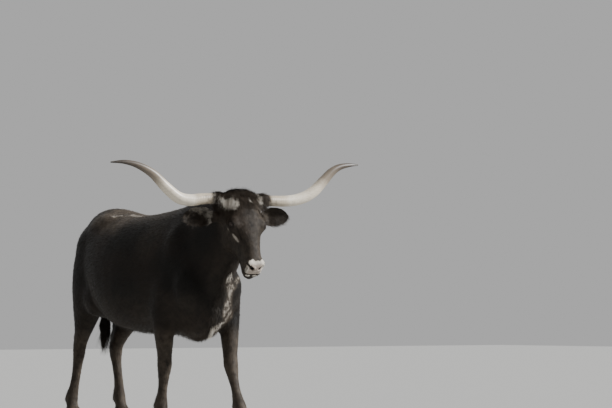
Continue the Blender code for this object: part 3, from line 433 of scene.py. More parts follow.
def hornMaterial():
    # keratin: ivory polished by wear, greyer where it is rough at the base, dark grey-brown to the tip
    material, tree, shader, spot = newMaterial("polishedHorn")
    along = addNode(tree, "ShaderNodeAttribute", attribute_name="along").outputs["Fac"]
    fibres = addNode(tree, "ShaderNodeMapping", {"Vector": spot, "Scale": hornLook["fibreScale"]})
    grain = addNode(tree, "ShaderNodeTexNoise", {"Vector": fibres, "Scale": 1.0, "Detail": 4.0})
    mottle = addNode(tree, "ShaderNodeTexNoise", {
        "Vector": spot, "Scale": hornLook["mottleScale"], "Detail": 5.0, "Roughness": 0.6})
    wander = addNode(tree, "ShaderNodeMath", {0: mottle, 1: 0.10, 2: along}, operation="MULTIPLY_ADD")
    body = addNode(tree, "ShaderNodeValToRGB", {"Fac": wander})
    stops = hornLook["stops"]
    elements = body.color_ramp.elements
    for element, (place, code) in zip(elements, (stops[0], stops[-1])):
        element.position, element.color = place, linear(code)
    for place, code in stops[1:-1]:
        elements.new(place).color = linear(code)
    nearBase = addNode(tree, "ShaderNodeMapRange", {"Value": along, "From Min": 0.34, "From Max": 0.06})
    dirt = addNode(tree, "ShaderNodeMapRange", {"Value": mottle, "From Min": 0.50, "From Max": 0.64})
    stain = addNode(tree, "ShaderNodeMath", {0: dirt, 1: nearBase}, operation="MULTIPLY")
    stain = addNode(tree, "ShaderNodeMath", {0: stain, 1: hornLook["stainShare"]}, operation="MULTIPLY")
    colour = addNode(tree, "ShaderNodeMix", {0: stain, 6: body, 7: hornLook["stain"]}, data_type="RGBA")
    streak = addNode(tree, "ShaderNodeMapRange", {
        "Value": grain, "From Min": 0.45, "From Max": 0.75, "To Max": hornLook["streakShare"]})
    colour = addNode(tree, "ShaderNodeMix", {0: streak, 6: colour, 7: hornLook["streak"]}, data_type="RGBA")
    rule = addNode(tree, "ShaderNodeCombineXYZ", {"X": along})
    rings = addNode(tree, "ShaderNodeTexWave", {
        "Vector": rule, "Scale": hornLook["ringScale"], "Distortion": 1.2, "Detail": 2.0, "Detail Scale": 3.0})
    fade = addNode(tree, "ShaderNodeMapRange", {"Value": along, "From Min": 0.45, "From Max": 0.05})
    ringHeight = addNode(tree, "ShaderNodeMath", {0: rings.outputs["Fac"], 1: fade}, operation="MULTIPLY")
    bump = addNode(tree, "ShaderNodeBump", {"Height": ringHeight, "Strength": 0.4, "Distance": 0.0016})
    bump = addNode(tree, "ShaderNodeBump", {
        "Height": grain, "Strength": 0.15, "Distance": 0.0010, "Normal": bump})
    rough = addNode(tree, "ShaderNodeMath", {0: mottle, 1: 0.22, 2: 0.28}, operation="MULTIPLY_ADD")
    feed(tree, shader, {"Base Color": colour, "Normal": bump, "Roughness": rough, "IOR": hornLook["ior"]})
    return material


hoofLook = {
    "wall": "#2a241f",
    "scuffs": "#5b5046",
    "dust": "#857868",
    "dustHeight": 0.022,
    "dustShare": 0.55,
    "scuffScale": 60.0,   # scuffs about 17 mm across
    "ringScale": 26.0,    # growth rings about 12 mm apart round the wall
    "roughness": 0.52,
}


def hoofMaterial():
    # hoof horn: dull, ringed and scuffed grey-brown, dusty at the ground
    material, tree, shader, spot = newMaterial("scuffedHoofHorn")
    height = addNode(tree, "ShaderNodeSeparateXYZ", {"Vector": spot}).outputs["Z"]
    scuff = addNode(tree, "ShaderNodeTexNoise", {
        "Vector": spot, "Scale": hoofLook["scuffScale"], "Detail": 5.0, "Roughness": 0.65})
    wear = addNode(tree, "ShaderNodeMapRange", {"Value": scuff, "From Min": 0.35, "From Max": 0.70})
    colour = addNode(tree, "ShaderNodeMix", {0: wear, 6: hoofLook["wall"], 7: hoofLook["scuffs"]},
                     data_type="RGBA")
    dust = addNode(tree, "ShaderNodeMapRange", {
        "Value": height, "From Min": hoofLook["dustHeight"], "From Max": 0.0, "To Max": hoofLook["dustShare"]})
    colour = addNode(tree, "ShaderNodeMix", {0: dust, 6: colour, 7: hoofLook["dust"]}, data_type="RGBA")
    rings = addNode(tree, "ShaderNodeTexWave", {
        "Vector": spot, "Scale": hoofLook["ringScale"], "Distortion": 1.5, "Detail": 3.0}, bands_direction="Z")
    bump = addNode(tree, "ShaderNodeBump", {
        "Height": rings.outputs["Fac"], "Strength": 0.4, "Distance": 0.0012})
    bump = addNode(tree, "ShaderNodeBump", {
        "Height": scuff, "Strength": 0.3, "Distance": 0.0008, "Normal": bump})
    feed(tree, shader, {"Base Color": colour, "Normal": bump, "Roughness": hoofLook["roughness"]})
    return material


eyeLook = {
    "iris": ("#150d08", "#3a2616"),
    "rim": "#4a3f38",
    "rimFrom": (0.44, 0.34),   # heights on the ball
    "pupil": "#030303",
    "fibreScale": 900.0,       # fibres about 1 mm apart
    "roughness": 0.06,
    "ior": 1.38,
    "tears": 0.25,
    "tearRoughness": 0.02,
}


def eyeMaterial():
    # wet eye: near-black iris with a level pupil, dark rim, clear film of tears
    material, tree, shader, spot = newMaterial("wetEye")
    pole, pupil = [addNode(tree, "ShaderNodeAttribute", attribute_name=field).outputs["Fac"]
                   for field in ("pole", "pupil")]
    fibres = addNode(tree, "ShaderNodeTexNoise", {
        "Vector": spot, "Scale": eyeLook["fibreScale"], "Detail": 3.0})
    iris = addNode(tree, "ShaderNodeMix", {0: fibres, 6: eyeLook["iris"][0], 7: eyeLook["iris"][1]},
                   data_type="RGBA")
    rim = addNode(tree, "ShaderNodeMapRange", {
        "Value": pole, "From Min": eyeLook["rimFrom"][0], "From Max": eyeLook["rimFrom"][1]})
    ball = addNode(tree, "ShaderNodeMix", {0: rim, 6: iris, 7: eyeLook["rim"]}, data_type="RGBA")
    colour = addNode(tree, "ShaderNodeMix", {0: pupil, 6: ball, 7: eyeLook["pupil"]}, data_type="RGBA")
    feed(tree, shader, {"Base Color": colour, "Roughness": eyeLook["roughness"], "IOR": eyeLook["ior"],
                        "Coat Weight": eyeLook["tears"], "Coat Roughness": eyeLook["tearRoughness"]})
    return material


floorLook = {"colour": "#a9a9a7", "roughness": 0.9}


def floorMaterial():
    # a pale, matt studio floor
    material, tree, shader = newMaterial("paleStudioFloor")[:3]
    feed(tree, shader, {"Base Color": floorLook["colour"], "Roughness": floorLook["roughness"]})
    return material


earShape = {
    "root": (0.138, 0.088, -0.060), "length": 0.206, "halfWidth": 0.065, "wall": 0.0084,
    "sides": 30, "steps": 3,
    "way": (0.98, 0.13), "rise": {-1: 0.03, 1: 0.13},   # from its root aside, back and up
    "facing": (0.10, -0.96, -0.10),                     # the way out of its opening
    "back": 0.024, "front": 0.020,                      # depths of the cup, and of the closed root's front
    "sunk": 0.014,                                      # how far the root reaches into the head
    "droop": 0.012,
    "outline": ((0.00, 0.46), (0.12, 0.60), (0.26, 0.86), (0.42, 1.00), (0.60, 0.98), (0.76, 0.86),
                (0.88, 0.67), (0.96, 0.42), (1.00, 0.16)),
}


def earFrame(side):  # its root, and the ways along it, out of its opening and across it
    aside, down, out = earShape["root"]
    root = np.array(onHead(side * aside, down, out))
    turn = np.array(headTurn)
    aside, behind = earShape["way"]
    along = turn @ np.array([side * aside, behind, earShape["rise"][side]])
    along = along / np.linalg.norm(along)
    aside, ahead, up = earShape["facing"]
    facing = turn @ np.array([side * aside, ahead, up])
    facing = facing - along * (facing @ along)
    facing = facing / np.linalg.norm(facing)
    return root, along, facing, np.cross(facing, along) * side


def makeEar(name, side):  # a cupped leaf, a closed tube at its root
    root, along, facing, across = earFrame(side)
    rings = []
    for share, width in curveThrough(earShape["outline"], earShape["steps"]):
        share = min(share, 1.0)
        opening = min(max((share - 0.04) / 0.22, 0.0), 1.0)
        back = earShape["back"] * (1 - 0.45 * share) * min(1.0, 1.3 * width)
        front = earShape["front"] * (1 - opening) - opening * (back - earShape["wall"])
        rim = earShape["halfWidth"] * width - 0.5 * earShape["wall"] * opening
        middle = root + along * (earShape["length"] * share - earShape["sunk"] * (share == 0.0))
        middle[2] -= earShape["droop"] * share ** 2
        ring = []
        for part in range(earShape["sides"]):
            angle = 2 * math.pi * (part + 0.5) / earShape["sides"]
            lift = math.sin(angle)
            depth = -back * lift if lift > 0 else -front * lift
            ring.append(middle + across * (rim * math.cos(angle)) + facing * depth)
        rings.append(ring)
    return ringMesh(name, rings)


skinShape = {
    "roughVoxel": 0.009,
    "headVoxel": 0.0034,
    "skinVoxel": 0.0037,
    "triangles": 172000,
    "inset": 0.0022,        # depth of the short coat
    "headJoin": 0.024,      # how far the body's form reaches into the head
    "passes": {"body": 45, "head": 10, "poll": 26, "muzzle": 16, "mouth": 14, "whole": 4},
}
nostril = {"upper": (0.057, 0.441, 0.036), "lower": {-1: (0.018, 0.472, 0.016), 1: (0.025, 0.469, 0.017)},
           "depth": 0.019, "half": (0.0060, 0.0100), "inward": (0.0, 0.88, -0.44),
           "rim": 0.0020, "rimAt": 1.55, "rimHalf": 0.42}
mouth = {"front": (0.476, -0.029), "corner": (0.369, -0.056), "depth": 0.0042, "half": 0.0028,
         "lip": 0.0014, "lipAt": 0.0062, "lipHalf": 0.0034}

bodyNodes = ["neck", "torso", "foreleg_right", "foreleg_left", "hind_leg_right", "hind_leg_left", "tail"]
headCut = onHead(0.0, 0.115, -0.135)
headCutNormal = headMatrix.to_3x3() @ Vector((0.0, 0.377, -0.926))


def behindCut(here):  # how far places lie behind the plane between head and neck
    return (here - np.array(headCut)) @ np.array(headCutNormal)


def headParts(here):  # places in the head's frame, and what share of them belongs to the head and to an ear
    local = inHead(here)
    headness = step(0.02, -0.06, behindCut(here)) * step(-0.45, -0.50, here[:, 1])
    onEar = headness * step(0.150, 0.170, np.abs(local[:, 0])) * step(0.24, 0.20, local[:, 1])
    return local, headness, onEar


# heights of the folds and distances between them
foldShape = {
    "throat": {"height": 0.0017, "apart": 0.064},
    "elbow": {"height": 0.0019, "apart": 0.052},
    "ribs": {"height": 0.0005, "apart": 0.078},
    "flank": {"height": 0.0019, "apart": 0.070},
    "coronet": {"height": 0.0060, "level": 0.078, "half": 0.016},
}


def foldWave(name, distance, shift=0.0):
    return np.sin(distance * 2 * np.pi / foldShape[name]["apart"] + shift)


def foldsOnSkin(here):  # folds, ribs and creases, as heights above the smooth form
    x, y, z = here.T
    fromMiddle = np.abs(x - bodyMiddle)
    # loose skin of the throat and dewlap
    throat = within((y, -0.80, -0.68, -0.54, -0.42), (z, 0.62, 0.76, 0.98, 1.14))
    wave = foldWave("throat", y + 0.30 * (z - 1.0), 2.6 * np.sin(z * 7.0 + x * 11.0))
    height = foldShape["throat"]["height"] * throat * wave * step(0.02, 0.08, fromMiddle)
    # creases above the elbow, uneven in length and distance
    elbow = within((y, -0.40, -0.30, -0.18, -0.06), (z, 0.60, 0.70, 0.80, 0.92))
    wave = foldWave("elbow", z + 0.55 * y + 0.010 * np.sin(y * 37.0) + 0.006 * np.sin(z * 61.0))
    uneven = 0.6 + 0.4 * np.sin(y * 23.0 + z * 17.0)
    height += foldShape["elbow"]["height"] * elbow * wave * step(0.12, 0.18, fromMiddle) * uneven
    # ribs show a little through the barrel
    ribs = within((y, -0.16, 0.04, 0.26, 0.42), (z, 0.74, 0.86, 1.04, 1.18))
    height += foldShape["ribs"]["height"] * ribs * foldWave("ribs", y + 0.18 * (z - 0.9))
    # slack folds where the flank meets the thigh
    flank = within((y, 0.36, 0.44, 0.52, 0.62), (z, 0.66, 0.74, 0.9, 1.0))
    height += foldShape["flank"]["height"] * flank * foldWave("flank", y - 0.4 * z + 0.008 * np.sin(z * 30.0))
    # the coronet swells over the tops of the claws
    coronet = foldShape["coronet"]
    height += coronet["height"] * np.exp(-((z - coronet["level"]) / coronet["half"]) ** 2)
    return height


def carveMuzzle(here, out):  # nostrils with raised rims, and the groove between the lips, both given a mask of painted shade
    local = inHead(here)
    pitShade = np.zeros(len(here))
    inward = headAxes @ np.array(nostril["inward"])
    shift = np.zeros_like(here)
    for side in (-1, 1):
        ends = [(side * a, d, o) for a, d, o in (nostril["upper"], nostril["lower"][side])]
        distance, share = lineDistance(local, ends)
        half = nostril["half"][0] + (nostril["half"][1] - nostril["half"][0]) * share
        inside = step(1.15, 0.35, distance / half)
        shift += inward * (nostril["depth"] * inside)[:, None]
        rim = np.exp(-((distance / half - nostril["rimAt"]) / nostril["rimHalf"]) ** 2)
        shift += out * (nostril["rim"] * rim)[:, None]
        pitShade = np.maximum(pitShade, step(1.10, 0.75, distance / half))
    down, forward = local[:, 1], local[:, 2]
    (frontDown, frontOut), (cornerDown, cornerOut) = mouth["front"], mouth["corner"]
    along = np.clip((down - cornerDown) / (frontDown - cornerDown), 0.0, 1.0)
    apart = forward - (cornerOut + (frontOut - cornerOut) * along ** 1.4)
    inMouth = step(cornerDown - 0.002, cornerDown + 0.016, down) * step(-0.16, -0.10, forward)
    groove = np.exp(-(apart / mouth["half"]) ** 2)
    lips = np.exp(-((np.abs(apart) - mouth["lipAt"]) / mouth["lipHalf"]) ** 2)
    shift += out * (inMouth * (mouth["lip"] * lips - mouth["depth"] * groove))[:, None]
    pitShade = np.maximum(pitShade, 0.9 * inMouth * step(0.8, 0.2, np.abs(apart) / mouth["half"]))
    return here + shift, pitShade


def largestSurface(thing):
    form = openForm(thing.data)
    form.verts.ensure_lookup_table()
    seen = np.zeros(len(form.verts), bool)
    best = []
    for start in form.verts:
        if seen[start.index]:
            continue
        seen[start.index] = True
        group, edge = [start], [start]
        while edge:
            following = []
            for vert in edge:
                for link in vert.link_edges:
                    other = link.other_vert(vert)
                    if not seen[other.index]:
                        seen[other.index] = True
                        following.append(other)
            group += following
            edge = following
        if len(group) > len(best):
            best = group
    keep = set(vert.index for vert in best)
    bmesh.ops.delete(form, geom=[vert for vert in form.verts if vert.index not in keep], context="VERTS")
    closeForm(form, thing.data)


def makeSkin():
    passes = skinShape["passes"]
    body = joinNodes("bodyForm", bodyNodes + ["head"])
    remesh(body, skinShape["roughVoxel"])
    relax(body, passes["body"])
    cropForm(body, headCut - headCutNormal * skinShape["headJoin"], -headCutNormal)
    head = joinNodes("headForm", ["head", "eye_right", "eye_left"])
    remesh(head, skinShape["headVoxel"])
    relax(head, passes["head"])
    # the solids' broad locks, cut nostrils and mouth are smoothed away for finer ones
    across, down, forward = inHead(perPoint(head.data, "co")).T
    smoothed = {
        "poll": step(0.140, 0.125, np.abs(across)) * step(0.085, 0.065, down) * step(-0.06, -0.03, forward),
        "muzzle": step(0.375, 0.410, down),
        "mouth": step(0.350, 0.365, down) * step(0.035, 0.02, np.abs(forward + 0.052)),
    }
    for part, weight in smoothed.items():
        relax(head, passes[part], weight, back=0.0)
    ears = [makeEar("earForm" + str(side), side) for side in (-1, 1)]
    skin = joinThings("skin", [body, head] + ears)
    remesh(skin, skinShape["skinVoxel"])
    largestSurface(skin)
    relax(skin, passes["whole"])
    print("skin form", len(skin.data.vertices))
    # the head keeps its fine faces, the body is thinned
    here = perPoint(skin.data, "co")
    keepsFaces = (behindCut(here) < 0.01) & (here[:, 1] < -0.50)
    thinned = skin.vertex_groups.new(name="thinned")
    thinned.add(np.nonzero(~keepsFaces)[0].tolist(), 1.0, "REPLACE")
    thin = skin.modifiers.new("thin", "DECIMATE")
    thin.vertex_group = "thinned"
    thin.ratio = skinShape["triangles"] / triangleCount(skin.data)
    settle(skin)
    skin.vertex_groups.clear()
    # finer faces for the nostrils and lips
    form = openForm(skin.data)
    muzzleTop = onHead(0.0, 0.425, 0.0)
    facing = headMatrix.to_3x3() @ Vector((0.0, -1.0, 0.0))
    edges = [edge for edge in form.edges
             if all((vert.co - muzzleTop).dot(facing) > 0.0 and vert.co.y < -0.9 for vert in edge.verts)]
    bmesh.ops.subdivide_edges(form, edges=edges, cuts=1, use_grid_fill=True)
    splitWideFaces(form)
    closeForm(form, skin.data)
    here, out = perPoint(skin.data, "co"), perPoint(skin.data, "normal")
    local, headness, onEar = headParts(here)
    # the coat is shorter on ears and muzzle
    inset = skinShape["inset"] - 0.0013 * onEar - 0.0010 * step(0.38, 0.42, local[:, 1]) * headness
    here, pitShade = carveMuzzle(here + out * (foldsOnSkin(here) - inset)[:, None], out)
    setPlaces(skin.data, here)
    storeField(skin.data, "pitShade", pitShade * headness)
    skin.data.shade_smooth()
    print("skin", triangleCount(skin.data), "triangles")
    return skin


eyeShape = {"radius": 0.0203, "across": 0.0975, "down": 0.186, "out": 0.030, "facing": 24.0, "tilt": 34.0,
            "segments": 48, "rings": 32, "bulge": 0.05, "pupil": (0.34, 0.15)}
lidShape = {"halfLength": 0.0168, "upper": 0.0092, "lower": 0.0072, "thickness": 0.0028,
            "reach": (0.0275, 0.0185), "sink": 0.013, "sides": 64,
            "steps": (0.05, 0.13, 0.24, 0.36, 0.48, 0.62, 0.78, 0.90, 1.0),
            "crease": {"height": -0.0016, "at": 0.40, "half": 0.07},
            "brow": {"height": 0.0016, "at": 0.62, "half": 0.14},
            "lashes": 36, "lashLength": 0.011, "lashHalf": 0.00035, "lashArc": (22, 136)}


def eyeFrame(side):  # centre, and the ways to the rear corner, up across the opening and straight out
    centre = np.array(onHead(side * eyeShape["across"], eyeShape["down"], eyeShape["out"]))
    turn = headMatrix.to_3x3() @ Matrix.Rotation(math.radians(-side * eyeShape["facing"]), 3, "Y")
    outward = (turn @ Vector((side, 0.0, 0.0))).normalized()
    rear = Vector((0.0, 0.0, 1.0)).cross(outward).normalized() * side
    upward = rear.cross(outward) * side
    if upward.z < 0:
        upward = -upward
    tilt = math.radians(eyeShape["tilt"])
    long = rear * math.cos(tilt) + upward * math.sin(tilt)
    short = upward * math.cos(tilt) - rear * math.sin(tilt)
    return centre, np.array(long), np.array(short), np.array(outward)


def makeEye(name, side):
    centre, long, short, outward = eyeFrame(side)
    form = bmesh.new()
    bmesh.ops.create_uvsphere(form, u_segments=eyeShape["segments"], v_segments=eyeShape["rings"],
                              radius=eyeShape["radius"])
    mesh = closeForm(form, bpy.data.meshes.new(name))
    local = perPoint(mesh, "co")
    unit = local / eyeShape["radius"]
    bulge = 1 + eyeShape["bulge"] * step(0.78, 0.95, unit[:, 2])  # the clear front stands out a little
    setPlaces(mesh, (local * bulge[:, None]) @ np.array([long, short, outward]) + centre)
    if np.linalg.det(np.array([long, short, outward])) < 0:
        mesh.flip_normals()
    storeField(mesh, "pole", unit[:, 2] * 0.5)
    pupil = (unit[:, 0] / eyeShape["pupil"][0]) ** 2 + (unit[:, 1] / eyeShape["pupil"][1]) ** 2
    storeField(mesh, "pupil", step(1.25, 0.85, pupil) * step(0.2, 0.4, unit[:, 2]))
    mesh.shade_smooth()
    return addObject(name, mesh)


def ridge(shape, share):  # a low swelling across the lid, or a crease where its height is below zero
    return shape["height"] * math.exp(-((share - shape["at"]) / shape["half"]) ** 2)


def makeLids(name, side, surface):  # both lids as one ring of skin over the eyeball, with lashes above
    centre, long, short, outward = eyeFrame(side)
    radius, thick, count = eyeShape["radius"], lidShape["thickness"], lidShape["sides"]
    reachLong, reachShort = lidShape["reach"]
    spots = []
    for part in range(count):
        angle = 2 * math.pi * part / count
        height = lidShape["upper"] if math.sin(angle) > 0 else lidShape["lower"]
        u = lidShape["halfLength"] * math.cos(angle)
        v = height * math.copysign(abs(math.sin(angle)) ** 1.2, math.sin(angle))
        rim = long * u + short * v + outward * math.sqrt(radius ** 2 - u * u - v * v)
        rim = rim / radius
        start = centre + long * (reachLong * math.cos(angle)) + short * (reachShort * math.sin(angle))
        start = start + outward * 0.06
        hit = surface.ray_cast(Vector(start), Vector(-outward), 0.12)[0]
        if hit is None:
            hit = surface.find_nearest(Vector(start - outward * 0.05))[0]
        spots.append((rim, np.array(hit) - outward * 0.0012))
    rings = [[centre + rim * reach for rim, _ in spots]
             for reach in (radius - 0.0030, radius + 0.0002, radius + 0.60 * thick)]
    for share in lidShape["steps"]:
        crease, brow = ridge(lidShape["crease"], share), ridge(lidShape["brow"], share)
        ring = []
        for rim, hit in spots:
            spot = centre + rim * (radius + thick)
            spot = spot * (1 - share) + hit * share
            away = spot - centre
            distance = np.linalg.norm(away)
            over = max(distance, radius + thick * (1 - 0.4 * share)) if share < 0.7 else distance
            ring.append(centre + away / distance * (over + crease + brow))
        rings.append(ring)
    rings.append([hit - outward * 0.006 for _, hit in spots])
    lids = ringMesh(name, rings, around=True)
    rng = np.random.default_rng(20 + side)
    firstLash, lashRange = lidShape["lashArc"]
    points, faces = [], []
    for lash in range(lidShape["lashes"]):
        angle = math.radians(firstLash + lashRange * (lash + 0.5) / lidShape["lashes"])
        rim = spots[int(round(angle / (2 * math.pi) * count)) % count][0]
        root = centre + rim * (radius + 0.8 * thick) + long * rng.normal(0, 0.0004)
        way = outward * 0.72 + short * 0.20 + long * (0.45 * math.cos(angle) + rng.normal(0, 0.06))
        way = way / np.linalg.norm(way)
        length = lidShape["lashLength"] * (0.55 + 0.45 * math.sin(angle)) * rng.uniform(0.8, 1.1)
        wide = long * lidShape["lashHalf"]
        half = root + way * length * 0.5
        bend = short * (0.22 * length)
        base = len(points)
        points += [root - wide, root + wide, half - wide * 0.8, half + wide * 0.8, root + way * length + bend]
        faces += [(base, base + 1, base + 3, base + 2), (base + 2, base + 3, base + 4)]
    mesh = bpy.data.meshes.new(name + "Lashes")
    mesh.from_pydata([tuple(point) for point in points], [], faces)
    whole = joinThings(name, [lids, addObject(name + "Lashes", mesh)])
    whole.data.shade_smooth()
    return whole


def eyeReach(here, side):  # 1 at the outer edge of the lids, less inside it
    centre, long, short, outward = eyeFrame(side)
    away = here - centre
    inFront = (away @ outward > -0.012) & (np.linalg.norm(away, axis=1) < 0.07)
    ratio = np.hypot(away @ long / lidShape["reach"][0], away @ short / lidShape["reach"][1])
    return np.where(inFront, ratio, 9.0)


# markings, where not said otherwise in the head's frame: across and down the face, and out of it
coatMarks = {
    "forehead": [(-0.145, -0.006), (-0.107, 0.000), (-0.069, 0.006), (-0.043, 0.033), (-0.058, 0.078),
                 (-0.090, 0.044)],
    "leftForehead": [(0.086, -0.020), (0.112, -0.018), (0.106, 0.012), (0.076, 0.022)],
    "smallSpot": (0.021, 0.022),
    "lowerLip": ((-0.028, 0.481, -0.046), (0.020, 0.482, -0.045)),
    # painted highlight where the cheekbone below the right eye catches the light
    "cheek": [(-0.097, 0.183, -0.019), (-0.071, 0.283, 0.008)],
    # painted shade along the facial crest below the right eye, where the front of the face turns to its side
    "crestShadeLine": [(-0.089, 0.192, 0.051), (-0.061, 0.282, 0.032)],
    # pale strip down the dewlap to the brisket, pale hair with a painted highlight where its front edge catches
    # the light: along a level line slanted to the body, and up
    "dewlap": [(0.174, 0.932), (0.162, 0.882), (0.174, 0.809), (0.153, 0.768), (0.139, 0.709), (0.151, 0.664),
               (0.074, 0.623), (0.051, 0.552), (0.067, 0.552), (0.099, 0.623), (0.169, 0.654), (0.196, 0.686),
               (0.197, 0.809), (0.219, 0.868), (0.248, 0.923), (0.228, 0.930), (0.196, 0.882), (0.206, 0.948)],
    "slant": 36.0,
    "slantThrough": (0.023, -0.333),
    # painted highlights of lit hair along the loin on either side of the spine: out from it, along and up
    "loinHighlight": [(0.147, 0.460, 1.300), (0.075, 0.385, 1.340), (0.055, 0.190, 1.320)],
}


def skinFields(skin):
    mesh = skin.data
    here, out = perPoint(mesh, "co"), perPoint(mesh, "normal")
    local, headness, onEar = headParts(here)
    x, y, z = here.T
    outX, outY, outZ = out.T
    across, down, forward = local.T
    fromMiddle = np.abs(x - bodyMiddle)
    onBody = 1 - headness
    legness = step(0.66, 0.54, z)
    tailness = step(0.86, 0.885, y) * step(0.054, 0.042, np.abs(x - 0.050)) * step(0.40, 0.55, z)
    eyeRatio = np.minimum(eyeReach(here, -1), eyeReach(here, 1))
    earFacing = np.zeros(len(here))
    for side in (-1, 1):
        earFacing = np.where(np.sign(across) == side, out @ earFrame(side)[2], earFacing)
    inEar = onEar * step(0.15, 0.5, earFacing)
    # white and pale markings, with painted highlights on the cheek, the loin and the dewlap's front edge
    onFace = headness * step(-0.02, 0.01, forward) * (1 - onEar)
    flat = local[:, :2]
    forehead = onFace * step(0.008, -0.006, patchDistance(flat, coatMarks["forehead"]))
    leftForehead = onFace * step(0.007, -0.005, patchDistance(flat, coatMarks["leftForehead"]))
    spotAcross, spotDown = coatMarks["smallSpot"]
    smallSpot = 0.8 * onFace * step(0.011, 0.004, np.hypot(across - spotAcross, down - spotDown))
    muzzleLine = 0.404 + 0.40 * (np.clip(forward, -0.03, 0.05) - 0.015)
    muzzleLine += 0.005 * np.sin(across * 95.0 + 1.0) + 0.004 * np.sin(across * 210.0 + forward * 60.0)
    upperLip = headness * step(-0.006, 0.030, down - muzzleLine) * step(-0.032, -0.024, forward)
    beyond = -across + 0.06 * (down - 0.472)
    greyed = 1 - 0.50 * step(0.038, 0.046, beyond)
    upperLip *= step(0.062, 0.051, beyond) * step(0.070, 0.058, across) * greyed
    lowerLip = []
    for spot in coatMarks["lowerLip"]:
        away = (local - np.array(spot)) * (0.5, 1.0, 1.0)
        lowerLip.append(headness * step(0.013, 0.006, np.linalg.norm(away, axis=1)))
    slant = math.radians(coatMarks["slant"])
    throughX, throughY = coatMarks["slantThrough"]
    level = (x - throughX) * math.cos(slant) - (y - throughY) * math.sin(slant)
    # dewlap strip: pale hair and a painted highlight along the dewlap's front edge
    stripPaleAndLit = step(0.008, -0.006, patchDistance(np.stack([level, z], 1), coatMarks["dewlap"])) * onBody
    stripPaleAndLit *= step(-0.30, -0.40, y) * step(0.15, -0.10, outX * math.sin(slant) + outY * math.cos(slant))
    brightEnds = np.maximum(step(0.922, 0.940, z) * step(0.218, 0.210, level), step(0.66, 0.62, z))
    besideSpine = np.stack([fromMiddle, y, z], 1)
    # painted highlight of lit hair along the loin
    streak = step(0.052, 0.026, lineDistance(besideSpine, coatMarks["loinHighlight"])[0]) * onBody
    # painted highlight on the cheekbone
    cheek = headness * step(0.022, 0.006, lineDistance(local, coatMarks["cheek"])[0])
    paleAndHighlight = np.maximum.reduce([forehead, leftForehead, smallSpot, upperLip, *lowerLip,
                               stripPaleAndLit * (0.45 + 0.55 * brightEnds), 0.45 * streak, 0.50 * inEar * (across < 0),
                               0.47 * cheek])
    bare = headness * step(0.444, 0.458, down) * step(-0.030, -0.023, forward)
    bare = bare * step(0.046, 0.034, np.abs(across))
    # where sun and rubbing have faded the coat, and painted light: highlights on the tops of hips and back, the
    # lit sides of face and legs, the cheek, the loin and the dewlap strip; painted shade darkens the facial
    # crest, and the coat stays dark round the eyes
    wornAndLit = np.maximum.reduce([
        within((y, 0.18, 0.28, 0.54, 0.66)) * step(1.17, 1.26, z) * step(0.1, 0.6, outZ),      # hips: painted highlight on their upward-facing tops
        0.55 * (step(1.18, 1.30, z) * step(0.55, 0.95, outZ) * onBody),                        # back: painted highlight along its top
        # lower legs: paler all round, with painted light on the side facing the key lamp
        (0.72 + 0.28 * step(-0.2, 0.5, outX)) * legness,
        headness * (0.42 + 0.42 * step(-0.2, 0.4, outX) + 0.15 * step(0.30, 0.40, down)),      # face: paler, with painted light on the side facing the key lamp
        0.2 * (step(0.16, 0.05, np.hypot(y + 0.12, (z - 1.16) * 0.8)) * step(0.0, -0.5, outX)),  # shoulder
        0.45 * (headness * step(0.08, 0.05, down)),                                            # poll
        0.22 * step(0.0, -0.5, outZ) * onBody,                                                 # underside
        stripPaleAndLit, streak, cheek])
    # painted shade along the facial crest below the eye
    wornAndLit *= 1 - 0.9 * headness * step(0.009, 0.003, lineDistance(local, coatMarks["crestShadeLine"])[0])
    wornAndLit *= 1 - 0.8 * headness * step(1.35, 1.0, eyeRatio)
    # the way the hair lies
    behind = step(0.50, 0.80, y)
    neckness = step(-0.36, -0.50, y) * onBody
    low = np.maximum(legness, tailness)
    sideways, upFace, outFace = headAxes.T
    lie = np.stack([np.zeros_like(x), 0.90 - 0.6 * behind, -0.42 - 0.6 * behind], 1)
    jaw = 0.8 * step(0.03, -0.05, forward)
    faceLie = -upFace + sideways * (across * 5.0)[:, None] - outFace * jaw[:, None]
    earLie = sideways * np.sign(across)[:, None] + np.array([0.0, 0.0, -0.25])
    for share, partLie in ((neckness, np.array([0.0, 0.75, -0.66])), (low, np.array([0.0, 0.05, -1.0])),
                           (headness, faceLie), (onEar, earLie)):
        lie = lie * (1 - share)[:, None] + partLie * share[:, None]
    lie = lie - out * (lie * out).sum(1)[:, None]
    lie = lie / np.maximum(np.linalg.norm(lie, axis=1), 1e-6)[:, None]
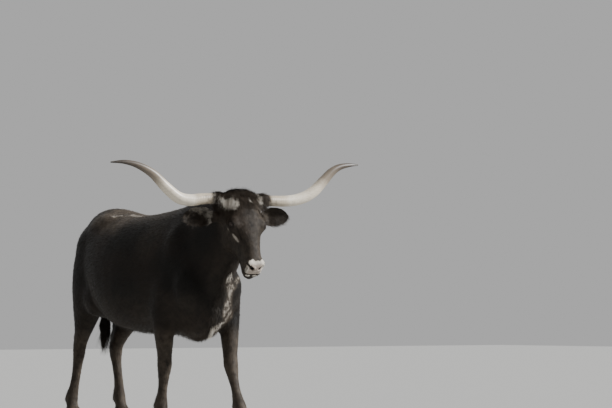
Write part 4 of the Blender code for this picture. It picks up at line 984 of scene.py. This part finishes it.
    # where each kind of hair grows
    cover = (1 - bare) * step(0.90, 1.02, eyeRatio) * step(0.035, 0.06, z)
    poll = (headness * step(0.080, 0.050, down) * step(0.150, 0.128, np.abs(across))
            * step(-0.11, -0.05, forward))
    dewlap = (step(0.05, 0.02, fromMiddle) * step(-0.20, -0.30, y) * onBody * step(0.25, -0.25, outZ)
              * step(1.05, 0.98, z) * step(0.50, 0.54, z))
    belly = step(0.10, 0.04, fromMiddle) * step(-0.7, -0.9, outZ) * step(0.50, 0.56, z) * step(0.75, 0.68, z)
    fetlock = step(0.06, 0.09, z) * step(0.24, 0.20, z) * step(0.1, 0.6, outY)
    coronet = step(0.100, 0.085, z) * step(0.040, 0.055, z)
    switch = tailness * step(0.80, 0.74, z) * step(-0.42, -0.22, outZ)
    length = 1.0 - 0.30 * neckness - 0.35 * legness - 0.15 * step(0.25, 0.12, z)
    length = length * onBody + headness * (0.62 - 0.22 * step(0.20, 0.38, down))
    fields = {
        "paleAndHighlight": paleAndHighlight, "bare": bare, "wornAndLit": wornAndLit, "legPart": low, "cover": cover, "pollHair": poll,
        "earHair": inEar * step(1.0, 0.3, np.abs(across) / 0.36), "dewlapHair": dewlap, "bellyHair": belly,
        "fetlockHair": np.maximum(fetlock, coronet * 0.6), "switchHair": switch,
        "hairLength": np.where(poll + inEar + switch > 0.02, 1.0, length), "lie": lie,
    }
    for name, values in fields.items():
        storeField(mesh, name, values)
    print("markings and lie of the coat stored")


tuftShape = {
    "bend": 0.10, "narrowing": 1.6, "tip": 0.93,   # a blade loses this share of its width by its tip
    "sizes": (0.65, 1.35),                         # sizes differ by a third either way
    "waveScale": 14.0,                             # waves about 70 mm long
    "patch": 0.003,                                # each tuft's patch on the skin's unwrap
}
far = 9.0  # beyond the animal on every side


def tuftTree():  # blades scattered on the skin, laid along the coat, each with its patch of the skin's unwrap
    tree = bpy.data.node_groups.new("coatTufts", "GeometryNodeTree")
    tree.interface.new_socket(name="Geometry", in_out="OUTPUT", socket_type="NodeSocketGeometry")
    kinds = (("Geometry", "Geometry", None), ("Where", "String", ""), ("Density", "Float", 1000.0),
             ("Length", "Float", 0.02), ("Width", "Float", 0.002), ("Lift", "Float", 0.15),
             ("Spread", "Float", 0.2), ("Wave", "Float", 0.0), ("Droop", "Float", 0.0), ("Segments", "Int", 3),
             ("Seed", "Int", 1), ("Finish", "Material", None), ("Low", "Vector", (-far, -far, -far)),
             ("High", "Vector", (far, far, far)))
    for name, kind, value in kinds:
        socket = tree.interface.new_socket(name=name, in_out="INPUT", socket_type="NodeSocket" + kind)
        if value is not None:
            socket.default_value = value
    given = addNode(tree, "NodeGroupInput").outputs
    fields = {name: addNode(tree, "GeometryNodeInputNamedAttribute", {"Name": name}, data_type=kind)
              for name, kind in (("lie", "FLOAT_VECTOR"), ("hairLength", "FLOAT"), ("tipward", "FLOAT"),
                                 ("bladePlace", "FLOAT_VECTOR"), ("skinUnwrap", "FLOAT_VECTOR"))}
    position = addNode(tree, "GeometryNodeInputPosition")
    above = addNode(tree, "FunctionNodeCompare", {4: position, 5: given["Low"]}, data_type="VECTOR",
                    mode="ELEMENT", operation="GREATER_THAN")
    below = addNode(tree, "FunctionNodeCompare", {4: position, 5: given["High"]}, data_type="VECTOR",
                    mode="ELEMENT", operation="LESS_THAN")
    within = addNode(tree, "FunctionNodeBooleanMath", {0: above, 1: below}, operation="AND")
    where = addNode(tree, "GeometryNodeInputNamedAttribute", {"Name": given["Where"]}, data_type="FLOAT")
    density = addNode(tree, "ShaderNodeMath", {0: where, 1: given["Density"]}, operation="MULTIPLY")
    scatter = addNode(tree, "GeometryNodeDistributePointsOnFaces", {
        "Mesh": given["Geometry"], "Selection": within, "Density": density, "Seed": given["Seed"]})
    up = scatter.outputs["Normal"]
    lifted = addNode(tree, "ShaderNodeVectorMath", {0: up, "Scale": given["Lift"]}, operation="SCALE")
    raised = addNode(tree, "ShaderNodeVectorMath", {0: fields["lie"], 1: lifted}, operation="ADD")
    turn = addNode(tree, "FunctionNodeAxesToRotation", {"Primary Axis": raised, "Secondary Axis": up},
                   primary_axis="X", secondary_axis="Z")
    less = addNode(tree, "ShaderNodeMath", {0: given["Spread"], 1: -1.0}, operation="MULTIPLY")
    least = addNode(tree, "ShaderNodeCombineXYZ", {"X": -0.5, "Y": less, "Z": less})
    most = addNode(tree, "ShaderNodeCombineXYZ", {"X": 0.5, "Y": 0.0, "Z": given["Spread"]})
    jitter = addNode(tree, "FunctionNodeRandomValue", {0: least, 1: most, "Seed": given["Seed"]},
                     data_type="FLOAT_VECTOR")
    turn = addNode(tree, "FunctionNodeRotateRotation", {"Rotation": turn, "Rotate By": jitter},
                   rotation_space="LOCAL")
    # one blade: a strip along X that narrows to its tip and bends
    columns = addNode(tree, "ShaderNodeMath", {0: given["Segments"], 1: 1.0}, operation="ADD")
    strip = addNode(tree, "GeometryNodeMeshGrid", {
        "Size X": 1.0, "Size Y": 1.0, "Vertices X": columns, "Vertices Y": 2})
    apart = addNode(tree, "ShaderNodeSeparateXYZ", {"Vector": position})
    share = addNode(tree, "ShaderNodeMath", {0: apart.outputs["X"], 1: 0.5}, operation="ADD")
    power = addNode(tree, "ShaderNodeMath", {0: share, 1: tuftShape["narrowing"]}, operation="POWER")
    narrowing = addNode(tree, "ShaderNodeMath", {0: power, 1: -tuftShape["tip"], 2: 1.0},
                        operation="MULTIPLY_ADD")
    crossing = addNode(tree, "ShaderNodeMath", {0: apart.outputs["Y"], 1: narrowing}, operation="MULTIPLY")
    square = addNode(tree, "ShaderNodeMath", {0: share, 1: share}, operation="MULTIPLY")
    bend = addNode(tree, "ShaderNodeMath", {0: square, 1: tuftShape["bend"]}, operation="MULTIPLY")
    shaped = addNode(tree, "ShaderNodeCombineXYZ", {"X": share, "Y": crossing, "Z": bend})
    blade = addNode(tree, "GeometryNodeSetPosition", {"Geometry": strip, "Position": shaped})
    blade = addNode(tree, "GeometryNodeStoreNamedAttribute", {
        "Geometry": blade, "Name": "bladePlace", "Value": strip.outputs["UV Map"]},
        data_type="FLOAT_VECTOR", domain="CORNER")
    blade = addNode(tree, "GeometryNodeStoreNamedAttribute", {
        "Geometry": blade, "Name": "tipward", "Value": apart.outputs["X"]}, data_type="FLOAT", domain="POINT")
    sizeSeed = addNode(tree, "ShaderNodeMath", {0: given["Seed"], 1: 5.0}, operation="ADD")
    size = addNode(tree, "FunctionNodeRandomValue", {
        2: tuftShape["sizes"][0], 3: tuftShape["sizes"][1], "Seed": sizeSeed}, data_type="FLOAT")
    long = addNode(tree, "ShaderNodeMath", {0: given["Length"], 1: size}, operation="MULTIPLY")
    long = addNode(tree, "ShaderNodeMath", {0: long, 1: fields["hairLength"]}, operation="MULTIPLY")
    scale = addNode(tree, "ShaderNodeCombineXYZ", {"X": long, "Y": given["Width"], "Z": long})
    placed = addNode(tree, "GeometryNodeInstanceOnPoints", {
        "Points": scatter, "Instance": blade, "Rotation": turn, "Scale": scale})
    real = addNode(tree, "GeometryNodeRealizeInstances", {"Geometry": placed})
    # long hair waves and hangs a little, more towards the tip
    reach = addNode(tree, "ShaderNodeMath", {0: fields["tipward"], 1: 0.5}, operation="ADD")
    reach = addNode(tree, "ShaderNodeMath", {0: reach, 1: 1.5}, operation="POWER")
    ripple = addNode(tree, "ShaderNodeTexNoise", {"Scale": tuftShape["waveScale"], "Detail": 1.0})
    ripple = addNode(tree, "ShaderNodeVectorMath", {0: ripple.outputs["Color"], 1: (0.5, 0.5, 0.5)},
                     operation="SUBTRACT")
    ripple = addNode(tree, "ShaderNodeVectorMath", {0: ripple, "Scale": given["Wave"]}, operation="SCALE")
    fall = addNode(tree, "ShaderNodeMath", {0: given["Droop"], 1: -1.0}, operation="MULTIPLY")
    hang = addNode(tree, "ShaderNodeCombineXYZ", {"Z": fall})
    offset = addNode(tree, "ShaderNodeVectorMath", {0: ripple, 1: hang}, operation="ADD")
    offset = addNode(tree, "ShaderNodeVectorMath", {0: offset, "Scale": reach}, operation="SCALE")
    waved = addNode(tree, "GeometryNodeSetPosition", {"Geometry": real, "Offset": offset})
    # each tuft is a small patch at its root's place on the skin's unwrap
    little = addNode(tree, "ShaderNodeVectorMath", {0: fields["bladePlace"], "Scale": tuftShape["patch"]},
                     operation="SCALE")
    patch = addNode(tree, "ShaderNodeVectorMath", {0: fields["skinUnwrap"], 1: little}, operation="ADD")
    mapped = addNode(tree, "GeometryNodeStoreNamedAttribute", {
        "Geometry": waved, "Name": "OFBake", "Value": patch}, data_type="FLOAT2", domain="CORNER")
    finish = addNode(tree, "GeometryNodeSetMaterial", {"Geometry": mapped, "Material": given["Finish"]})
    addNode(tree, "NodeGroupOutput", {0: finish})
    return tree


def growTufts(tree, skin, name, settings, material):
    thing = addObject(name, skin.data.copy())
    modifier = thing.modifiers.new("tufts", "NODES")
    modifier.node_group = tree
    sockets = {item.name: item.identifier for item in tree.interface.items_tree if item.in_out == "INPUT"}
    for key, value in settings.items():
        modifier[sockets[key]] = value
    modifier[sockets["Finish"]] = material
    settle(thing)
    for extra in [item.name for item in thing.data.attributes]:
        if extra in ("bladePlace", "skinUnwrap", "lie", "cover", "legPart", "bare", "pitShade", "hairLength") or (
                extra.endswith("Hair")):
            thing.data.attributes.remove(thing.data.attributes[extra])
    print(name, triangleCount(thing.data), "triangles")
    return thing


shortCoat = {"Where": "cover", "Density": 15000.0, "Length": 0.020, "Width": 0.0022, "Lift": 0.08,
             "Spread": 0.16, "Segments": 3}
coatPieces = {
    "coatFore": {**shortCoat, "Seed": 3, "Low": (-far, -0.52, 0.66), "High": (far, -0.05, far)},
    "coatMiddle": {**shortCoat, "Seed": 4, "Low": (-far, -0.05, 0.5), "High": (far, 0.42, far)},
    "coatRear": {**shortCoat, "Seed": 5, "Low": (-far, 0.42, 0.66), "High": (far, far, far)},
    "coatLegs": {**shortCoat, "Density": 22000.0, "Width": 0.0018, "Seed": 6, "Low": (-far, -far, 0.0),
                 "High": (far, far, 0.66)},
    "coatHead": {**shortCoat, "Density": 42000.0, "Width": 0.0012, "Lift": 0.07, "Spread": 0.14, "Seed": 7,
                 "Low": (-far, -far, 0.5), "High": (far, -0.52, far)},
    "pollTuft": {"Where": "pollHair", "Density": 200000.0, "Length": 0.040, "Width": 0.0014, "Lift": 0.16,
                 "Spread": 0.24, "Wave": 0.012, "Droop": 0.007, "Segments": 4, "Seed": 8},
    "earHair": {"Where": "earHair", "Density": 80000.0, "Length": 0.028, "Width": 0.0012, "Lift": 0.35,
                "Spread": 0.35, "Wave": 0.008, "Droop": 0.003, "Segments": 4, "Seed": 9},
    "dewlapHair": {"Where": "dewlapHair", "Density": 30000.0, "Length": 0.034, "Width": 0.0018, "Lift": 0.30,
                   "Spread": 0.35, "Wave": 0.010, "Droop": 0.006, "Segments": 4, "Seed": 10},
    "bellyHair": {"Where": "bellyHair", "Density": 16000.0, "Length": 0.030, "Width": 0.0018, "Lift": 0.30,
                  "Spread": 0.35, "Wave": 0.008, "Droop": 0.004, "Segments": 4, "Seed": 11},
    "fetlockHair": {"Where": "fetlockHair", "Density": 70000.0, "Length": 0.032, "Width": 0.0014, "Lift": 0.18,
                    "Spread": 0.25, "Wave": 0.005, "Segments": 4, "Seed": 12},
    "switchHair": {"Where": "switchHair", "Density": 700000.0, "Length": 0.200, "Width": 0.0022, "Lift": -0.02,
                   "Spread": 0.06, "Wave": 0.030, "Segments": 9, "Seed": 13},
}

hornShape = {
    "right": [(0.105, 1.371), (0.176, 1.371), (0.252, 1.365), (0.315, 1.357), (0.390, 1.371), (0.468, 1.428),
              (0.548, 1.500), (0.637, 1.545), (0.722, 1.562), (0.806, 1.558)],
    "left": [(0.105, 1.368), (0.179, 1.368), (0.317, 1.371), (0.414, 1.393), (0.487, 1.435), (0.550, 1.497),
             (0.609, 1.556), (0.664, 1.587), (0.729, 1.601), (0.791, 1.605)],
    "radii": [0.029, 0.031, 0.033, 0.034, 0.034, 0.031, 0.026, 0.019, 0.012, 0.0035],
    "pale": {"right": 1.0, "left": 0.93},   # the left one stays ivory further out
    "ridges": 46,            # low growth rings, deep at the base and gone a third of the way out
    "ridgeHeight": 0.0007,
    "ridgeFade": 3.2,
    "lobeHeight": 0.0006,    # the horn isn't quite round
    "sides": 36,
    "steps": 14,
}


def makeHorn(name, sideName):
    side = 1 if sideName == "left" else -1
    lateral = np.array(headTurn @ Vector((1.0, 0.0, 0.0)))
    forward = np.array(headTurn @ Vector((0.0, -1.0, 0.0)))
    rows = [(*spot, radius) for spot, radius in zip(hornShape[sideName], hornShape["radii"])]
    line = curveThrough(rows, hornShape["steps"])
    steps = np.linalg.norm(np.diff(line[:, :2], axis=0), axis=1)
    along = np.concatenate([[0.0], np.cumsum(steps)])
    along = along / along[-1] * hornShape["pale"][sideName]
    rings = []
    angle = np.arange(hornShape["sides"]) * 2 * np.pi / hornShape["sides"]
    for index, (out, high, radius) in enumerate(line):
        run = line[min(index + 1, len(line) - 1)][:2] - line[max(index - 1, 0)][:2]
        run = run / np.linalg.norm(run)
        centre = np.array(headPlace["axis"]) + lateral * (side * out)
        centre[2] = high
        upward = np.array([0.0, 0.0, run[0]]) - lateral * (side * run[1])
        fade = max(0.0, 1 - along[index] * hornShape["ridgeFade"])
        ridges = hornShape["ridgeHeight"] * math.sin(along[index] * 2 * math.pi * hornShape["ridges"]) * fade
        reach = radius + ridges + hornShape["lobeHeight"] * np.sin(angle * 3 + along[index] * 9)
        ring = centre + np.outer(reach * np.cos(angle), upward) + np.outer(reach * np.sin(angle), forward)
        rings.append(ring)
    return ringMesh(name, rings, fields=[("along", along)])


feet = {
    "fore_right": {"side": -1, "across": 0.163, "along": -0.380},
    "fore_left": {"side": 1, "across": 0.163, "along": -0.775},
    "hind_right": {"side": -1, "across": 0.150, "along": 0.768},
    "hind_left": {"side": 1, "across": 0.152, "along": 0.652},
}
clawShape = {
    "length": 0.118, "width": 0.050, "cleft": 0.006, "front": 0.078, "heel": 0.046, "sides": 36, "levels": 18,
    "flareAcross": (0.80, 0.20), "flareAlong": (0.78, 0.22),   # the top's share of the sole, and the rest
    "ripples": 7, "rippleDepth": 0.006, "ahead": 0.020, "point": 0.35, "close": 0.10,
}
bodyShift = Vector((bodyMiddle, 0.175, 0.0))


def makeClaw(name, foot, inner):
    side = foot["side"]
    middle = side * foot["across"]
    offset = -side * (1 if inner else -1) * (clawShape["width"] / 2 + clawShape["cleft"] / 2)
    slope = (clawShape["front"] - clawShape["heel"]) / clawShape["length"]
    mid = (clawShape["front"] + clawShape["heel"]) / 2
    (topWidth, moreWidth), (topLength, moreLength) = clawShape["flareAcross"], clawShape["flareAlong"]
    rings = []
    for level in range(clawShape["levels"] + 1):
        share = level / clawShape["levels"]
        ring = []
        # the wall bulges a little over the sole and turns in at its edge
        edge = 1 - 0.04 * max(0.0, (share - 0.90) / 0.10) ** 2 - 0.09 * max(0.0, 1 - share / 0.12) ** 2
        ripple = 1 + clawShape["rippleDepth"] * math.sin(share * 2 * math.pi * clawShape["ripples"])
        for part in range(clawShape["sides"]):
            angle = 2 * math.pi * part / clawShape["sides"]
            ahead = math.sin(angle)
            toe = max(ahead, 0.0)
            width = clawShape["width"] * (topWidth + moreWidth * share) / 2
            width = width * (1 - clawShape["point"] * toe ** 3) * edge * ripple
            length = clawShape["length"] * (topLength + moreLength * share) / 2 * edge * ripple
            x = middle + offset + width * math.cos(angle)
            x += (middle - x) * clawShape["close"] * toe
            y = foot["along"] - length * ahead - clawShape["ahead"] * share
            top = mid - (y - foot["along"]) * slope
            ring.append(Vector((x, y, top * (1 - share))) + bodyShift)
        rings.append(ring)
    return ringMesh(name, rings)


hide = hideMaterial()
fur = furMaterial()
hornFinish = hornMaterial()
hoofFinish = hoofMaterial()
eyeFinish = eyeMaterial()
lidFinish = lidMaterial()

skin = makeSkin()
here = perPoint(skin.data, "co")
surface = BVHTree.FromPolygons([Vector(spot) for spot in here],
                               [tuple(face.vertices) for face in skin.data.polygons])
for sideName, side in (("Right", -1), ("Left", 1)):
    eye = makeEye("eye" + sideName, side)
    eye.data.materials.append(eyeFinish)
    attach(eye, "root")
    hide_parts("eye_" + sideName.lower())
    lids = makeLids("lids" + sideName, side, surface)
    lids.data.materials.append(lidFinish)
    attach(lids, "root")
    # the skin sinks under the lids
    outward = eyeFrame(side)[3]
    here = here - outward * (lidShape["sink"] * step(0.96, 0.72, eyeReach(here, side)))[:, None]
setPlaces(skin.data, here)
print("eyes and lids made")

skinFields(skin)
unwrap = {"angle": 66, "margin": 0.002}
bpy.context.view_layer.objects.active = skin
skin.select_set(True)
bpy.ops.object.mode_set(mode="EDIT")
bpy.ops.mesh.select_all(action="SELECT")
bpy.ops.uv.smart_project(angle_limit=math.radians(unwrap["angle"]), island_margin=unwrap["margin"])
bpy.ops.object.mode_set(mode="OBJECT")
skin.data.uv_layers[0].name = "skinUnwrap"
print("skin unwrapped")
skin.data.materials.clear()
skin.data.materials.append(hide)

tree = tuftTree()
coats = [growTufts(tree, skin, name, settings, fur) for name, settings in coatPieces.items()]
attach(skin, "root")
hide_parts(*bodyNodes, "ear_right", "ear_left", "head")
for coat in coats:
    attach(coat, "root")
    if coat.name == "switchHair":
        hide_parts("tail_switch")

for sideName in ("right", "left"):
    horn = makeHorn("horn" + sideName.capitalize(), sideName)
    horn.data.materials.append(hornFinish)
    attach(horn, "root")
    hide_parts("horn_" + sideName)
for footName, foot in feet.items():
    for clawName, inner in (("inner", True), ("outer", False)):
        claw = makeClaw("claw_" + footName + "_" + clawName, foot, inner)
        claw.data.materials.append(hoofFinish)
        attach(claw, "root")
        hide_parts("hoof_" + footName + "_" + clawName)
print("horns and hooves made")

studio = {
    "floorSize": 60.0,
    "world": 0.46,
    "lamps": {
        "key": {"way": (0.62, -0.60, 0.58), "spread": 8.0, "strength": 6.2},
        "back": {"way": (0.10, 0.85, 0.52), "spread": 40.0, "strength": 0.25},
    },
    "lampDistance": 8.0,
}
# the photograph's frame in its own pixels, and the place on the floor at the depth given
view = {"turn": 36.0, "depth": 10.82, "column": 198.0, "at": (bodyMiddle, -0.325), "height": 0.648,
        "horizon": 323.0, "focal": 1785.0, "width": 612.0, "tall": 408.0, "sensor": 36.0, "farthest": 100.0}


def makeFloor():
    form = bmesh.new()
    bmesh.ops.create_grid(form, x_segments=1, y_segments=1, size=studio["floorSize"] / 2)
    floor = addObject("floor", closeForm(form, bpy.data.meshes.new("floor")))
    floor.data.materials.append(floorMaterial())


def makeLight(name, settings):
    data = bpy.data.lights.new(name, "SUN")
    data.energy = settings["strength"]
    data.angle = math.radians(settings["spread"])
    lamp = addObject(name, data)
    lamp.location = Vector(settings["way"]) * studio["lampDistance"]
    lamp.rotation_euler = Vector(settings["way"]).to_track_quat("Z", "Y").to_euler()


def makeCamera():
    turn = math.radians(view["turn"])
    ahead = Vector((math.sin(turn), math.cos(turn), 0.0))
    right = Vector((math.cos(turn), -math.sin(turn), 0.0))
    sideways = (view["column"] - view["width"] / 2) / view["focal"] * view["depth"]
    place = Vector((*view["at"], 0.0)) - ahead * view["depth"] - right * sideways
    place.z = view["height"]
    pitch = math.atan((view["horizon"] - view["tall"] / 2) / view["focal"])
    look = ahead * math.cos(pitch) + Vector((0.0, 0.0, math.sin(pitch)))
    data = bpy.data.cameras.new("camera")
    data.sensor_width = view["sensor"]
    data.lens = view["focal"] / view["width"] * view["sensor"]
    data.clip_end = view["farthest"]
    camera = addObject("camera", data)
    camera.matrix_world = Matrix.Translation(place) @ look.to_track_quat("-Z", "Y").to_matrix().to_4x4()
    bpy.context.scene.camera = camera


def makeWorld():
    world = bpy.data.worlds.new("studio")
    bpy.context.scene.world = world
    world.use_nodes = True
    background = world.node_tree.nodes["Background"]
    background.inputs["Color"].default_value = (1.0, 1.0, 1.0, 1.0)
    background.inputs["Strength"].default_value = studio["world"]


makeFloor()
for lampName, settings in studio["lamps"].items():
    makeLight(lampName, settings)
makeCamera()
makeWorld()
print("studio ready")
